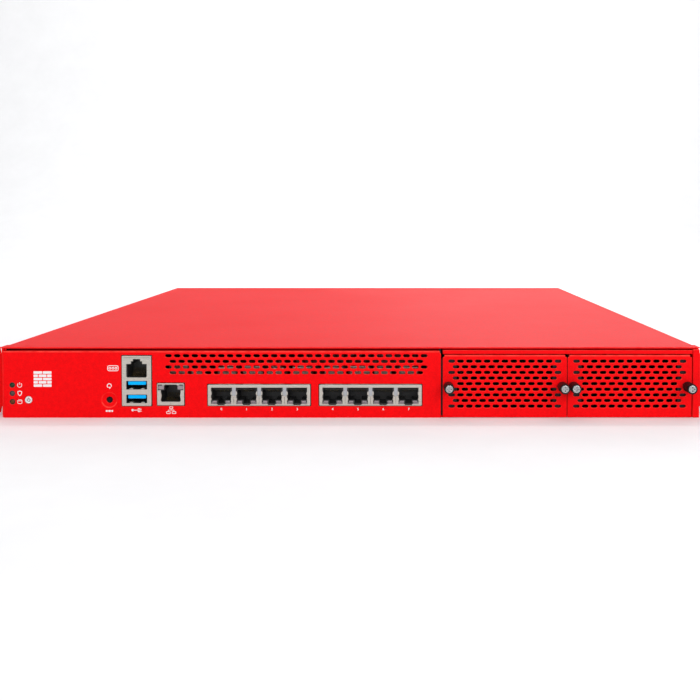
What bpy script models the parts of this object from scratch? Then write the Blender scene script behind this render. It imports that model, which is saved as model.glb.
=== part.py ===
"""One-rack-unit firewall appliance: a steel tray and cover, a ported front panel, two module bays
closed by vented filler panels, boards, three case fans and two slide-in power modules.

Metres, +Z up, the front faces -Y. The origin is the centre of the underside.
"""

import math

import bmesh
import bpy
from mathutils import Matrix, Vector

# Overall
BODY_WIDTH = 0.438
BODY_DEPTH = 0.468
BODY_HEIGHT = 0.0444
RACK_WIDTH = 0.4826

# Sheet and fits
SHEET = 0.0012
COVER_SHEET = 0.001
PANEL_SHEET = 0.0015
BOARD_SHEET = 0.0016
CLEARANCE = 0.0003

# Tray, cover and front posts
POST_WIDTH = 0.0043
POST_DEPTH = 0.010
COVER_INSET = 0.0008
COVER_SKIRT_LIFT = 0.002

# Front panel and top rail
PANEL_TOP_GAP = 0.0008
PANEL_SIDE_REVEAL = 0.0004
SEAM = 0.001
RAIL_HEIGHT = 0.003
RAIL_DEPTH = 0.016

# Module bays and their filler panels
BAYS = 2
BAY_WIDTH = 0.0782
BAY_DEPTH = 0.166
FILLER_GAP = 0.0006
FILLER_FLANGE = 0.012
FILLER_CORNER = 0.0018
FRAME_BAR = 0.003
FRAME_UPRIGHT = 0.009
WALL_FOOT = 0.008

# Vent slots
SLOT_LENGTH = 0.0038
SLOT_HEIGHT = 0.0016
SLOT_PITCH = 0.00555
SLOT_ROW_PITCH = 0.00354
FILLER_SLOT_ROWS = 9
FILLER_TOP_ROW = 0.0039
FILLER_SLOT_MARGIN = 0.0056
PANEL_SLOT_PITCH = 0.00552
PANEL_SLOT_ROWS = 4
PANEL_TOP_ROW = 0.0036
PANEL_SLOT_MARGIN = 0.0104

# Captive thumb screws
THUMB_INSET = 0.0035
THUMB_HEIGHT = 0.020
SHANK_RADIUS = 0.0015
SHANK_REACH = 0.008
HEAD_RADIUS = 0.0026
HEAD_LENGTH = 0.008
KNOB_RADIUS = 0.0032
KNOB_LENGTH = 0.011
KNOB_FLOOR = 0.0025

# Ports
BOARD_TOP = 0.0072
JACK_WALL = 0.0008
JACK_PROUD = 0.0003
JACK_DEPTH = 0.022
PORT_WIDTH = 0.0119
PORT_PITCH = 0.01587
PORT_DEPTH = 0.013
TAB_WIDTH = 0.006
TAB_HEIGHT = 0.002
GANG_PORTS = 4
GANG_ENDS = 0.0007
GANG_BASE = 0.0077
GANG_HEIGHT = 0.0132
GANG_MOUTH = (0.0035, 0.0084)
MANAGEMENT_WIDTH = 0.0169
MANAGEMENT_BASE = 0.0079
MANAGEMENT_HEIGHT = 0.0138
MANAGEMENT_MOUTH = (0.0023, 0.0070)
CONSOLE_WIDTH = 0.0184
CONSOLE_BASE = 0.00755
CONSOLE_HEIGHT = 0.03145
CONSOLE_DEPTH = 0.028
CONSOLE_JACK_FLOOR = 0.0168
CONSOLE_MOUTH = (0.0015, 0.0081)
USB_WIDTH = 0.013
USB_HEIGHT = 0.0056
USB_DEPTH = 0.018
USB_FLOORS = (0.0016, 0.0102)
TONGUE_WIDTH = 0.0112
TONGUE_HEIGHT = 0.0022
TONGUE_DROP = 0.0005

# Lights and buttons
LIGHT_MARGIN = 0.0055
LIGHT_DIAMETER = 0.003
LIGHT_FLANGE = 0.0019
LIGHT_FLANGE_LENGTH = 0.001
LIGHT_HEIGHTS = {"power": 0.0206, "arm": 0.0154, "storage": 0.0101}
BUTTON_HEIGHT = 0.01125
POWER_DIAMETER = 0.005
RESET_DIAMETER = 0.0041
POWER_TRAVEL = 0.001
RESET_TRAVEL = 0.0006
BUTTON_FLANGE = 0.001
BUTTON_STEM = 0.0018
SWITCH_SIZE = 0.006
CONTROL_BOARD_HEIGHT = 0.027

# Spare width of the front panel, shared out before each thing along it
SPARE_SHARES = {
    "light": 0.0,
    "power": 0.0647,
    "reset": 0.4883,
    "console": 0.0642,
    "management": 0.0382,
    "ports_a": 0.1569,
    "ports_b": 0.0594,
}

# Main board and what stands on it
BOARD_MARGIN = 0.003
STANDOFF_RADIUS = 0.0025
STANDOFF_INSET = 0.008
PROCESSOR = 0.036
PROCESSOR_HEIGHT = 0.0032
SINK_WIDTH = 0.090
SINK_DEPTH = 0.090
SINK_BASE = 0.004
SINK_FINS = 14
SINK_FIN = 0.0018
SINK_HEADROOM = 0.0025
MEMORY_LENGTH = 0.1334
MEMORY_HEIGHT = 0.0305
MEMORY_THICKNESS = 0.0036
MEMORY_SPACING = 0.012
SOCKET_HEIGHT = 0.006
SOCKET_SLOT_FLOOR = 0.002
CELL_RADIUS = 0.010
CELL_HEIGHT = 0.0032
DRIVE_WIDTH = 0.0699
DRIVE_LENGTH = 0.100
DRIVE_HEIGHT = 0.007
DRIVE_LIFT = 0.0015
BRACKET_RISE = 0.010

# Case fans
FANS = 3
FAN_SIZE = 0.040
FAN_DEPTH = 0.028
FAN_PITCH = 0.048
FAN_MARGIN = 0.010
FAN_WALL = 0.0013
FAN_HUB = 0.011
FAN_TIP_GAP = 0.0019
FAN_STRUT = 0.0024
FAN_STATOR = 0.003
FAN_BLADES = 5
FAN_BLADE_CHORD = 0.013
BLADE_SLANT = 38.0

# Power modules
MODULES = 2
MODULE_WIDTH = 0.0545
MODULE_HEIGHT = 0.040
MODULE_LENGTH = 0.198
MODULE_SPACING = 0.002
MODULE_SIDE_GAP = 0.0015
MODULE_EDGE = 0.0013
MODULE_FAN_WALL = 0.0017
MODULE_FAN_DEPTH = 0.022
MODULE_FAN_HUB = 0.008
MODULE_TIP_GAP = 0.0018
MODULE_BLADE_CHORD = 0.010
INLET_WIDTH = 0.019
INLET_HEIGHT = 0.026
INLET_DEPTH = 0.018
INLET_WALL = 0.0012
INLET_FLOOR = 0.003
PIN_SPACING = 0.007
PIN_WIDTH = 0.004
PIN_THICKNESS = 0.002
PIN_SHIFT = 0.001
EARTH_PIN_SHIFT = 0.003
HANDLE_RADIUS = 0.0016
HANDLE_REACH = 0.018
HANDLE_BEND = 0.005
HANDLE_INSET = 0.0037
LATCH_WIDTH = 0.009
LATCH_HEIGHT = 0.0032
LATCH_DEPTH = 0.008
LATCH_REACH = 0.009
LATCH_TRAVEL = 0.003
MIDPLANE_GAP = 0.001
MIDPLANE_SOCKET = 0.0064
SOCKET_SPAN_SHARE = 0.65
SOCKET_BASE = 0.010
SOCKET_RISE = 0.008
BAY_SOCKET_DEPTH = 0.010

# Rack ears
EAR_SHEET = 0.002
EAR_NECK = 0.0055
EAR_NECK_SPAN = (0.005, 0.039)
EAR_HEIGHT = 0.0436
EAR_LEG = 0.072
RACK_HOLE_SPACING = 0.4651
RACK_HOLE_RISE = 0.03175
EAR_SLOT_LENGTH = 0.0105
EAR_SLOT_HEIGHT = 0.0068

# Rear panel vents
REAR_SLOT_WIDTH = 0.005
REAR_SLOT_HEIGHT = 0.024
REAR_SLOT_PITCH = 0.0105
REAR_SLOT_MARGIN = 0.014

# Faces on a full turn
SCREW_SIDES = 12
FAN_SIDES = 20

# Places worked out from the sizes above
SIDE = BODY_WIDTH / 2
FRONT = -BODY_DEPTH / 2
BACK = BODY_DEPTH / 2
COVER_UNDER = BODY_HEIGHT - COVER_SHEET
COVER_SIDE = SIDE - COVER_INSET
WALL_TOP = COVER_UNDER - CLEARANCE
WALL_SIDE = COVER_SIDE - COVER_SHEET - CLEARANCE
WALL_INNER = WALL_SIDE - SHEET
FLOOR_TOP = SHEET + CLEARANCE
BEHIND_PANEL = FRONT + PANEL_SHEET + CLEARANCE
BEFORE_REAR = BACK - SHEET - CLEARANCE
PANEL_TOP = COVER_UNDER - PANEL_TOP_GAP
PANEL_LEFT = -SIDE + PANEL_SIDE_REVEAL
BAY_RIGHT = SIDE - POST_WIDTH - CLEARANCE
BAY_LEFT = BAY_RIGHT - BAYS * BAY_WIDTH
PANEL_RIGHT = BAY_LEFT - SEAM
BAY_BACK = FRONT + BAY_DEPTH
RAIL_BASE = WALL_TOP - RAIL_HEIGHT
FILLER_TOP = RAIL_BASE - FILLER_GAP
MODULE_FRONT = BACK - MODULE_LENGTH
MODULE_BASE = FLOOR_TOP
MODULES_LEFT = -WALL_INNER + MODULE_SIDE_GAP
MODULES_RIGHT = MODULES_LEFT + MODULES * MODULE_WIDTH + (MODULES - 1) * MODULE_SPACING
BOARD_BASE = BOARD_TOP - BOARD_SHEET
GANG_WIDTH = GANG_PORTS * PORT_PITCH + GANG_ENDS
FAN_BORE = FAN_SIZE / 2 - FAN_WALL
FAN_TIP = FAN_BORE - FAN_TIP_GAP
FAN_BASE = (FLOOR_TOP + WALL_TOP - FAN_SIZE) / 2
FAN_HEIGHT = FAN_BASE + FAN_SIZE / 2
FAN_FRONT = BEFORE_REAR - FAN_DEPTH
FIRST_FAN = MODULES_RIGHT + FAN_MARGIN + FAN_SIZE / 2
MODULE_FAN_CENTRE = (MODULE_WIDTH - MODULE_EDGE - INLET_WIDTH) / 2
MODULE_FAN_BORE = MODULE_FAN_CENTRE - MODULE_FAN_WALL
MODULE_FAN_TIP = MODULE_FAN_BORE - MODULE_TIP_GAP
INLET_CENTRE = MODULE_WIDTH - MODULE_EDGE - INLET_WIDTH / 2

FINISHES = {
    "red paint": ((0.72, 0.010, 0.014, 1.0), 0.45, 0.0),
    "zinc": ((0.60, 0.61, 0.63, 1.0), 0.35, 0.9),
    "nickel": ((0.74, 0.72, 0.68, 1.0), 0.28, 1.0),
    "black plastic": ((0.018, 0.018, 0.020, 1.0), 0.5, 0.0),
    "blue plastic": ((0.010, 0.13, 0.55, 1.0), 0.4, 0.0),
    "green lens": ((0.02, 0.16, 0.07, 1.0), 0.25, 0.0),
    "grey lens": ((0.30, 0.30, 0.30, 1.0), 0.25, 0.0),
    "amber lens": ((0.30, 0.09, 0.02, 1.0), 0.25, 0.0),
    "white plastic": ((0.70, 0.70, 0.70, 1.0), 0.35, 0.0),
    "green board": ((0.015, 0.10, 0.045, 1.0), 0.45, 0.0),
    "aluminium": ((0.70, 0.71, 0.72, 1.0), 0.35, 1.0),
    "release green": ((0.05, 0.32, 0.16, 1.0), 0.45, 0.0),
}


def clear_scene():
    for thing in list(bpy.data.objects):
        bpy.data.objects.remove(thing, do_unlink=True)


def collection(name):
    group = bpy.data.collections.new(name)
    bpy.context.scene.collection.children.link(group)
    return group


clear_scene()
PIECES = collection("firewall_appliance")
CUTTERS = collection("cutters")


def piece(thing, finish, parent=None):
    """Makes an object a piece of the appliance, in its own material, riding on its joint's empty."""
    PIECES.objects.link(thing)
    colour, roughness, metallic = FINISHES[finish]
    material = bpy.data.materials.new(thing.name)
    material.use_nodes = True
    shader = material.node_tree.nodes["Principled BSDF"]
    shader.inputs["Base Color"].default_value = colour
    shader.inputs["Roughness"].default_value = roughness
    shader.inputs["Metallic"].default_value = metallic
    thing.data.materials.append(material)
    if parent:
        thing.location -= parent.matrix_world.translation
        thing.parent = parent
    return thing


def joint_empty(name, place, parent=None):
    """An empty on a joint's axis. It is never turned or scaled."""
    empty = bpy.data.objects.new(name, None)
    empty.empty_display_size = 0.01
    empty.location = place
    if parent:
        empty.location -= parent.matrix_world.translation
        empty.parent = parent
    PIECES.objects.link(empty)
    bpy.context.view_layer.update()
    return empty


def combine(thing, helper, operation, solver="EXACT"):
    """A Boolean of a hidden helper: DIFFERENCE cuts it out of the piece, UNION joins it on."""
    CUTTERS.objects.link(helper)
    helper.hide_render = True
    helper.display_type = "WIRE"
    change = thing.modifiers.new(helper.name, "BOOLEAN")
    change.operation = operation
    change.solver = solver
    change.object = helper


def blocks(name, spans):
    """One mesh of closed boxes that don't meet, each given by its (low, high) along X, Y and Z."""
    form = bmesh.new()
    lows = [min(span[axis][0] for span in spans) for axis in range(3)]
    highs = [max(span[axis][1] for span in spans) for axis in range(3)]
    centre = (Vector(lows) + Vector(highs)) / 2
    for span in spans:
        size = [high - low for low, high in span]
        middle = Vector([(high + low) / 2 for low, high in span]) - centre
        stretch = Matrix.Diagonal((*size, 1.0))
        bmesh.ops.create_cube(form, size=1.0, matrix=Matrix.Translation(middle) @ stretch)
    mesh = bpy.data.meshes.new(name)
    form.to_mesh(mesh)
    form.free()
    thing = bpy.data.objects.new(name, mesh)
    thing.location = centre
    return thing


def block(name, across, along, up):
    return blocks(name, [(across, along, up)])


def turned(name, profile, place, sides=SCREW_SIDES, upright=False):
    """A solid turned about a front-to-back axis, or an upright one. The profile is (radius, distance
    from place towards the front, or up), and runs down the outer side from its front or top end."""
    mesh = bpy.data.meshes.new(name)
    count = len(profile)
    edges = [(at, at + 1) for at in range(count - 1)]
    hollow = profile[0][0] > 0.0
    if hollow:
        edges.append((count - 1, 0))
    mesh.from_pydata([(radius, 0.0, forward) for radius, forward in profile], edges, [])
    thing = bpy.data.objects.new(name, mesh)
    thing.location = place
    thing.rotation_euler = (0.0 if upright else math.pi / 2, 0.0, 0.0)
    screw = thing.modifiers.new("Turn", "SCREW")
    screw.steps = sides
    screw.render_steps = sides
    screw.use_merge_vertices = True
    screw.merge_threshold = 0.00001
    screw.use_smooth_shade = False
    return thing


def disc(name, radius, length, place, sides=SCREW_SIDES, upright=False):
    """A plain round solid that reaches from place towards the front, or up."""
    profile = [(0.0, length), (radius, length), (radius, 0.0), (0.0, 0.0)]
    return turned(name, profile, place, sides, upright)


def outline(name, points, thickness, facing, place, holes=()):
    """A flat outline with holes, given thickness about place along the axis it faces.
    Points are (X, Z) where it faces Y, (Y, Z) where it faces X, and (X, Y) where it faces Z."""
    curve = bpy.data.curves.new(name, "CURVE")
    curve.dimensions = "2D"
    curve.fill_mode = "BOTH"
    curve.extrude = thickness / 2
    for loop in (points, *holes):
        line = curve.splines.new("POLY")
        line.points.add(len(loop) - 1)
        for corner, (across, up) in zip(line.points, loop):
            corner.co = (across, up, 0.0, 1.0)
        line.use_cyclic_u = True
    guide = bpy.data.objects.new(name + "_outline", curve)
    CUTTERS.objects.link(guide)
    graph = bpy.context.evaluated_depsgraph_get()
    mesh = bpy.data.meshes.new_from_object(guide.evaluated_get(graph))
    bpy.data.objects.remove(guide)
    form = bmesh.new()
    form.from_mesh(mesh)
    bmesh.ops.remove_doubles(form, verts=form.verts, dist=0.000001)
    turn = {"X": (90, 0, 90), "Y": (90, 0, 0), "Z": (0, 0, 0)}[facing]
    form.to_mesh(mesh)
    form.free()
    mesh.name = name
    thing = bpy.data.objects.new(name, mesh)
    thing.rotation_euler = [math.radians(angle) for angle in turn]
    thing.location = place
    return thing


def rectangle(across, up):
    return [(across[0], up[0]), (across[1], up[0]), (across[1], up[1]), (across[0], up[1])]


def slot_outline(across, up, length=SLOT_LENGTH, height=SLOT_HEIGHT):
    """A vent slot's outline, with square ends."""
    return rectangle((across - length / 2, across + length / 2), (up - height / 2, up + height / 2))


def circle(across, up, radius, sides=SCREW_SIDES):
    angles = [2 * math.pi * side / sides for side in range(sides)]
    return [(across + radius * math.cos(angle), up + radius * math.sin(angle)) for angle in angles]


def grown(span, by=CLEARANCE):
    return (span[0] - by, span[1] + by)


def about(centre, size):
    return (centre - size / 2, centre + size / 2)


def panel_places():
    """The centre X of each thing along the front panel, in a walk from its left edge."""
    widths = {
        "light": LIGHT_DIAMETER,
        "power": POWER_DIAMETER,
        "reset": RESET_DIAMETER,
        "console": CONSOLE_WIDTH,
        "management": MANAGEMENT_WIDTH,
        "ports_a": GANG_WIDTH,
        "ports_b": GANG_WIDTH,
    }
    spare = PANEL_RIGHT - PANEL_LEFT - LIGHT_MARGIN - sum(widths.values())
    places = {}
    edge = PANEL_LEFT + LIGHT_MARGIN
    for name, width in widths.items():
        edge += SPARE_SHARES[name] * spare
        places[name] = edge + width / 2
        edge += width
    return places


PLACES = panel_places()


def slot_rows(left, right, top, pitch, rows):
    """Centres of staggered vent slots, as many as fit between two sides, row by row from the top."""
    most = int((right - left) / pitch) + 1
    middle = (left + right) / 2
    for row in range(rows):
        count = most - row % 2
        for index in range(count):
            yield middle + (index - (count - 1) / 2) * pitch, top - row * SLOT_ROW_PITCH


def tray():
    """Floor and side walls bent from one sheet, with the front posts and the board's standoffs."""
    section = [
        (-WALL_SIDE, 0.0),
        (WALL_SIDE, 0.0),
        (WALL_SIDE, WALL_TOP),
        (WALL_INNER, WALL_TOP),
        (WALL_INNER, SHEET),
        (-WALL_INNER, SHEET),
        (-WALL_INNER, WALL_TOP),
        (-WALL_SIDE, WALL_TOP),
    ]
    depth = BEFORE_REAR - BEHIND_PANEL
    base = outline("chassis_base", section, depth, "Y", (0.0, (BEFORE_REAR + BEHIND_PANEL) / 2, 0.0))
    piece(base, "red paint")
    post_back = FRONT + POST_DEPTH
    right = block("post_right", (SIDE - POST_WIDTH, SIDE), (FRONT, post_back), (0.0, WALL_TOP))
    left = block("post_left", (-SIDE, POST_WIDTH - SIDE), (BEHIND_PANEL, post_back), (0.0, WALL_TOP))
    combine(base, right, "UNION")
    combine(base, left, "UNION")
    height = BOARD_BASE - CLEARANCE - SHEET / 2
    for number, (across, along) in enumerate(standoff_places()):
        place = (across, along, SHEET / 2)
        standoff = disc(f"standoff_{number}", STANDOFF_RADIUS, height, place, SCREW_SIDES, upright=True)
        combine(base, standoff, "UNION")


def board_corners():
    """The main board's L shape: full width in front of the power modules, narrower beside them."""
    left = -WALL_INNER + BOARD_MARGIN
    right = PANEL_RIGHT - BOARD_MARGIN
    front = BEHIND_PANEL + BOARD_MARGIN / 2
    step = MODULE_FRONT - BOARD_MARGIN - MIDPLANE_SOCKET - BOARD_SHEET
    narrow = MODULES_RIGHT + BOARD_MARGIN
    back = FAN_FRONT - BOARD_MARGIN * 4
    return left, right, front, step, narrow, back


def standoff_places():
    left, right, front, step, narrow, back = board_corners()
    return [
        (left + STANDOFF_INSET, (front + step) / 2),
        (left + STANDOFF_INSET, step - STANDOFF_INSET),
        (narrow + STANDOFF_INSET, back - STANDOFF_INSET),
        (right - STANDOFF_INSET, back - STANDOFF_INSET),
        (right - STANDOFF_INSET, (front + step) / 2),
    ]


def cover():
    """Flat lid with a skirt down each side, its front end a little wider to cap the posts."""
    section = [
        (-COVER_SIDE, COVER_SKIRT_LIFT),
        (COVER_SHEET - COVER_SIDE, COVER_SKIRT_LIFT),
        (COVER_SHEET - COVER_SIDE, COVER_UNDER),
        (COVER_SIDE - COVER_SHEET, COVER_UNDER),
        (COVER_SIDE - COVER_SHEET, COVER_SKIRT_LIFT),
        (COVER_SIDE, COVER_SKIRT_LIFT),
        (COVER_SIDE, BODY_HEIGHT),
        (-COVER_SIDE, BODY_HEIGHT),
    ]
    front = FRONT + POST_DEPTH + CLEARANCE
    lid = outline("top_cover", section, BACK - front, "Y", (0.0, (front + BACK) / 2, 0.0))
    piece(lid, "red paint")
    lip = block("cover_lip", (-SIDE, SIDE), (FRONT, front + SHEET), (COVER_UNDER, BODY_HEIGHT))
    combine(lid, lip, "UNION")


def jack_windows():
    """Windows of the front panel: (left, right) and (bottom, top) of each connector's shell."""
    management_up = (MANAGEMENT_BASE, MANAGEMENT_BASE + MANAGEMENT_HEIGHT)
    return [
        (about(PLACES["console"], CONSOLE_WIDTH), (CONSOLE_BASE, CONSOLE_BASE + CONSOLE_HEIGHT)),
        (about(PLACES["management"], MANAGEMENT_WIDTH), management_up),
        (about(PLACES["ports_a"], GANG_WIDTH), (GANG_BASE, GANG_BASE + GANG_HEIGHT)),
        (about(PLACES["ports_b"], GANG_WIDTH), (GANG_BASE, GANG_BASE + GANG_HEIGHT)),
    ]


def front_panel():
    vents_left = PLACES["console"] + CONSOLE_WIDTH / 2 + PANEL_SLOT_MARGIN
    vents_right = PANEL_RIGHT - PANEL_SLOT_MARGIN
    top_row = PANEL_TOP - PANEL_TOP_ROW
    rows = slot_rows(vents_left, vents_right, top_row, PANEL_SLOT_PITCH, PANEL_SLOT_ROWS)
    holes = [slot_outline(across, up) for across, up in rows]
    holes += [rectangle(grown(across), grown(up)) for across, up in jack_windows()]
    holes += [circle(PLACES["light"], up, LIGHT_DIAMETER / 2 + CLEARANCE) for up in LIGHT_HEIGHTS.values()]
    holes.append(circle(PLACES["power"], BUTTON_HEIGHT, POWER_DIAMETER / 2))
    holes.append(circle(PLACES["reset"], BUTTON_HEIGHT, RESET_DIAMETER / 2))
    face = rectangle((PANEL_LEFT, PANEL_RIGHT), (0.0, PANEL_TOP))
    place = (0.0, FRONT + PANEL_SHEET / 2, 0.0)
    piece(outline("front_panel", face, PANEL_SHEET, "Y", place, holes), "red paint")


def bay_structure():
    """Top rail, bay wall, screw frame and backplane of the module bays."""
    rail = [
        (FRONT, RAIL_BASE),
        (FRONT + SHEET, RAIL_BASE),
        (FRONT + SHEET, WALL_TOP - SHEET),
        (FRONT + RAIL_DEPTH, WALL_TOP - SHEET),
        (FRONT + RAIL_DEPTH, WALL_TOP),
        (FRONT, WALL_TOP),
    ]
    middle = (BAY_LEFT + BAY_RIGHT) / 2
    piece(outline("bay_rail", rail, BAY_RIGHT - BAY_LEFT, "X", (middle, 0.0, 0.0)), "red paint")
    wall = [
        (PANEL_RIGHT - WALL_FOOT, FLOOR_TOP),
        (PANEL_RIGHT, FLOOR_TOP),
        (PANEL_RIGHT, WALL_TOP - CLEARANCE),
        (PANEL_RIGHT - SHEET, WALL_TOP - CLEARANCE),
        (PANEL_RIGHT - SHEET, FLOOR_TOP + SHEET),
        (PANEL_RIGHT - WALL_FOOT, FLOOR_TOP + SHEET),
    ]
    length = BAY_BACK - BEHIND_PANEL
    place = (0.0, BEHIND_PANEL + length / 2, 0.0)
    piece(outline("bay_wall", wall, length, "Y", place), "zinc")
    bay_frame()
    backplane()


def thumb_places():
    """X of the two thumb screws of each filler panel, left bay first."""
    pairs = []
    for bay in range(BAYS):
        left = BAY_LEFT + bay * BAY_WIDTH
        pairs.append((left + THUMB_INSET, left + BAY_WIDTH - THUMB_INSET))
    return pairs


def bay_frame():
    """A comb behind the fillers: a bar along the floor and uprights that the thumb screws enter."""
    left = PANEL_RIGHT + CLEARANCE
    top = FILLER_TOP - SHEET - CLEARANCE - SHEET
    bar_top = FLOOR_TOP + FRAME_BAR
    corners = [(left, FLOOR_TOP), (BAY_RIGHT, FLOOR_TOP), (BAY_RIGHT, top)]
    for bay in reversed(range(BAYS)):
        bay_left = BAY_LEFT + bay * BAY_WIDTH
        window_right = bay_left + BAY_WIDTH - FRAME_UPRIGHT
        window_left = bay_left + FRAME_UPRIGHT
        corners += [(window_right, top), (window_right, bar_top), (window_left, bar_top), (window_left, top)]
    corners.append((left, top))
    holes = []
    for pair in thumb_places():
        holes += [circle(across, THUMB_HEIGHT, SHANK_RADIUS + CLEARANCE) for across in pair]
    place = (0.0, FRONT + SHEET + CLEARANCE + SHEET / 2, 0.0)
    piece(outline("bay_frame", corners, SHEET, "Y", place, holes), "zinc")


def backplane():
    """Upright board at the back of the bays, with one socket block for each bay."""
    along = (BAY_BACK + 2 * CLEARANCE, BAY_BACK + 2 * CLEARANCE + BOARD_SHEET)
    up = (FLOOR_TOP + SHEET, FILLER_TOP - SHEET)
    board = block("bay_backplane", (BAY_LEFT, BAY_RIGHT), along, up)
    piece(board, "green board")
    centres = [BAY_LEFT + (bay + 0.5) * BAY_WIDTH for bay in range(BAYS)]
    reach = (along[0] - BAY_SOCKET_DEPTH, along[0] + SHEET / 2)
    rise = (SOCKET_BASE, SOCKET_BASE + SOCKET_RISE)
    sockets = [(about(centre, BAY_WIDTH * SOCKET_SPAN_SHARE), reach, rise) for centre in centres]
    combine(board, blocks("bay_sockets", sockets), "UNION")


def filler_panels():
    """Vented blank panels over the bays, each with a rear flange along its top and two thumb screws."""
    for bay, pair in enumerate(thumb_places()):
        number = bay + 1
        left = BAY_LEFT + bay * BAY_WIDTH
        right = left + BAY_WIDTH - CLEARANCE
        slide = joint_empty(f"filler_{number}_slide", ((left + right) / 2, FRONT, THUMB_HEIGHT))
        face = rounded_top(left, right, CLEARANCE, FILLER_TOP)
        slots = slot_rows(
            left + FILLER_SLOT_MARGIN,
            right - FILLER_SLOT_MARGIN,
            FILLER_TOP - FILLER_TOP_ROW,
            SLOT_PITCH,
            FILLER_SLOT_ROWS,
        )
        holes = [slot_outline(*at) for at in slots if clear_of_screws(at, pair)]
        holes += [circle(across, THUMB_HEIGHT, SHANK_RADIUS + CLEARANCE) for across in pair]
        place = (0.0, FRONT + SHEET / 2, 0.0)
        panel = outline(f"filler_panel_{number}", face, SHEET, "Y", place, holes)
        piece(panel, "red paint", slide)
        inset = FILLER_CORNER + CLEARANCE
        flange = block(
            f"filler_flange_{number}",
            (left + inset, right - inset),
            (FRONT + SHEET / 2, FRONT + FILLER_FLANGE),
            (FILLER_TOP - SHEET - CLEARANCE, FILLER_TOP - CLEARANCE),
        )
        combine(panel, flange, "UNION", "MANIFOLD")
        for index, across in enumerate(pair):
            thumb_screw(bay * len(pair) + index + 1, across, slide)


def rounded_top(left, right, bottom, top):
    """A panel's face with its two top corners rounded."""
    corners = [(left, bottom), (right, bottom)]
    for centre, start in ((right - FILLER_CORNER, 0), (left + FILLER_CORNER, 90)):
        for angle in (0, 45, 90):
            turn = math.radians(start + angle)
            across = centre + FILLER_CORNER * math.cos(turn)
            corners.append((across, top - FILLER_CORNER + FILLER_CORNER * math.sin(turn)))
    return corners


def clear_of_screws(at, pair):
    """Whether a slot leaves room for the thumb screws beside it."""
    room = SLOT_LENGTH / 2 + KNOB_RADIUS
    beside = min(abs(at[0] - across) for across in pair) < room
    return not (beside and abs(at[1] - THUMB_HEIGHT) < KNOB_RADIUS)


def thumb_screw(number, across, slide):
    """A steel screw and the knurled knob pressed on its head. Both turn about the screw's axis."""
    axis = joint_empty(f"thumb_screw_{number}_axis", (across, FRONT, THUMB_HEIGHT), slide)
    knob_back = CLEARANCE
    knob_front = knob_back + KNOB_LENGTH
    head_back = knob_back + KNOB_FLOOR + CLEARANCE
    head_front = head_back + HEAD_LENGTH
    screw = [
        (0.0, head_front),
        (HEAD_RADIUS, head_front),
        (HEAD_RADIUS, head_back),
        (SHANK_RADIUS, head_back),
        (SHANK_RADIUS, -SHANK_REACH),
        (0.0, -SHANK_REACH),
    ]
    place = (across, FRONT, THUMB_HEIGHT)
    piece(turned(f"thumb_screw_{number}", screw, place), "nickel", axis)
    head_room = HEAD_RADIUS + CLEARANCE
    shank_room = SHANK_RADIUS + CLEARANCE
    knob = [
        (KNOB_RADIUS, knob_front),
        (KNOB_RADIUS, knob_back),
        (shank_room, knob_back),
        (shank_room, knob_back + KNOB_FLOOR),
        (head_room, knob_back + KNOB_FLOOR),
        (head_room, knob_front),
    ]
    piece(turned(f"thumb_knob_{number}", knob, place), "black plastic", axis)


def mouth_blocks(name, centres, base, mouth, tab_up, along):
    """Cutters for modular jack mouths: a wide room for the plug and a narrower one for its latch tab."""
    low, height = mouth
    bottom = base + low
    if tab_up:
        tab = (bottom + height / 2, bottom + height + TAB_HEIGHT)
    else:
        tab = (bottom - TAB_HEIGHT, bottom + height / 2)
    rooms = [(about(centre, PORT_WIDTH), along, (bottom, bottom + height)) for centre in centres]
    tabs = [(about(centre, TAB_WIDTH), along, tab) for centre in centres]
    return blocks(name + "_rooms", rooms), blocks(name + "_tabs", tabs)


def jack_bank(name, centre, width, base, height, ports, mouth, tab_up):
    """A metal shell with one mouth for each port, and the plastic insert that fills it."""
    shell_front = FRONT - JACK_PROUD
    shell_back = shell_front + JACK_DEPTH
    across = about(centre, width)
    up = (base, base + height)
    shell = block(f"{name}_shell", across, (shell_front, shell_back), up)
    piece(shell, "nickel")
    cavity = block(
        f"{name}_cavity",
        grown(across, -JACK_WALL),
        (shell_front + JACK_WALL, shell_back + JACK_WALL),
        grown(up, -JACK_WALL),
    )
    combine(shell, cavity, "DIFFERENCE")
    centres = [centre + (port - (ports - 1) / 2) * PORT_PITCH for port in range(ports)]
    mouths = (shell_front - JACK_WALL, shell_front + 2 * JACK_WALL)
    for cutter in mouth_blocks(f"{name}_mouth", centres, base, mouth, tab_up, mouths):
        combine(shell, cutter, "DIFFERENCE")
    insert_front = shell_front + JACK_WALL + CLEARANCE
    inner = JACK_WALL + CLEARANCE
    filled = (insert_front, shell_back - CLEARANCE)
    insert = block(f"{name}_insert", grown(across, -inner), filled, grown(up, -inner))
    piece(insert, "black plastic")
    pockets = (insert_front - JACK_WALL, insert_front + PORT_DEPTH)
    for cutter in mouth_blocks(f"{name}_pocket", centres, base, mouth, tab_up, pockets):
        combine(insert, cutter, "DIFFERENCE")


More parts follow.
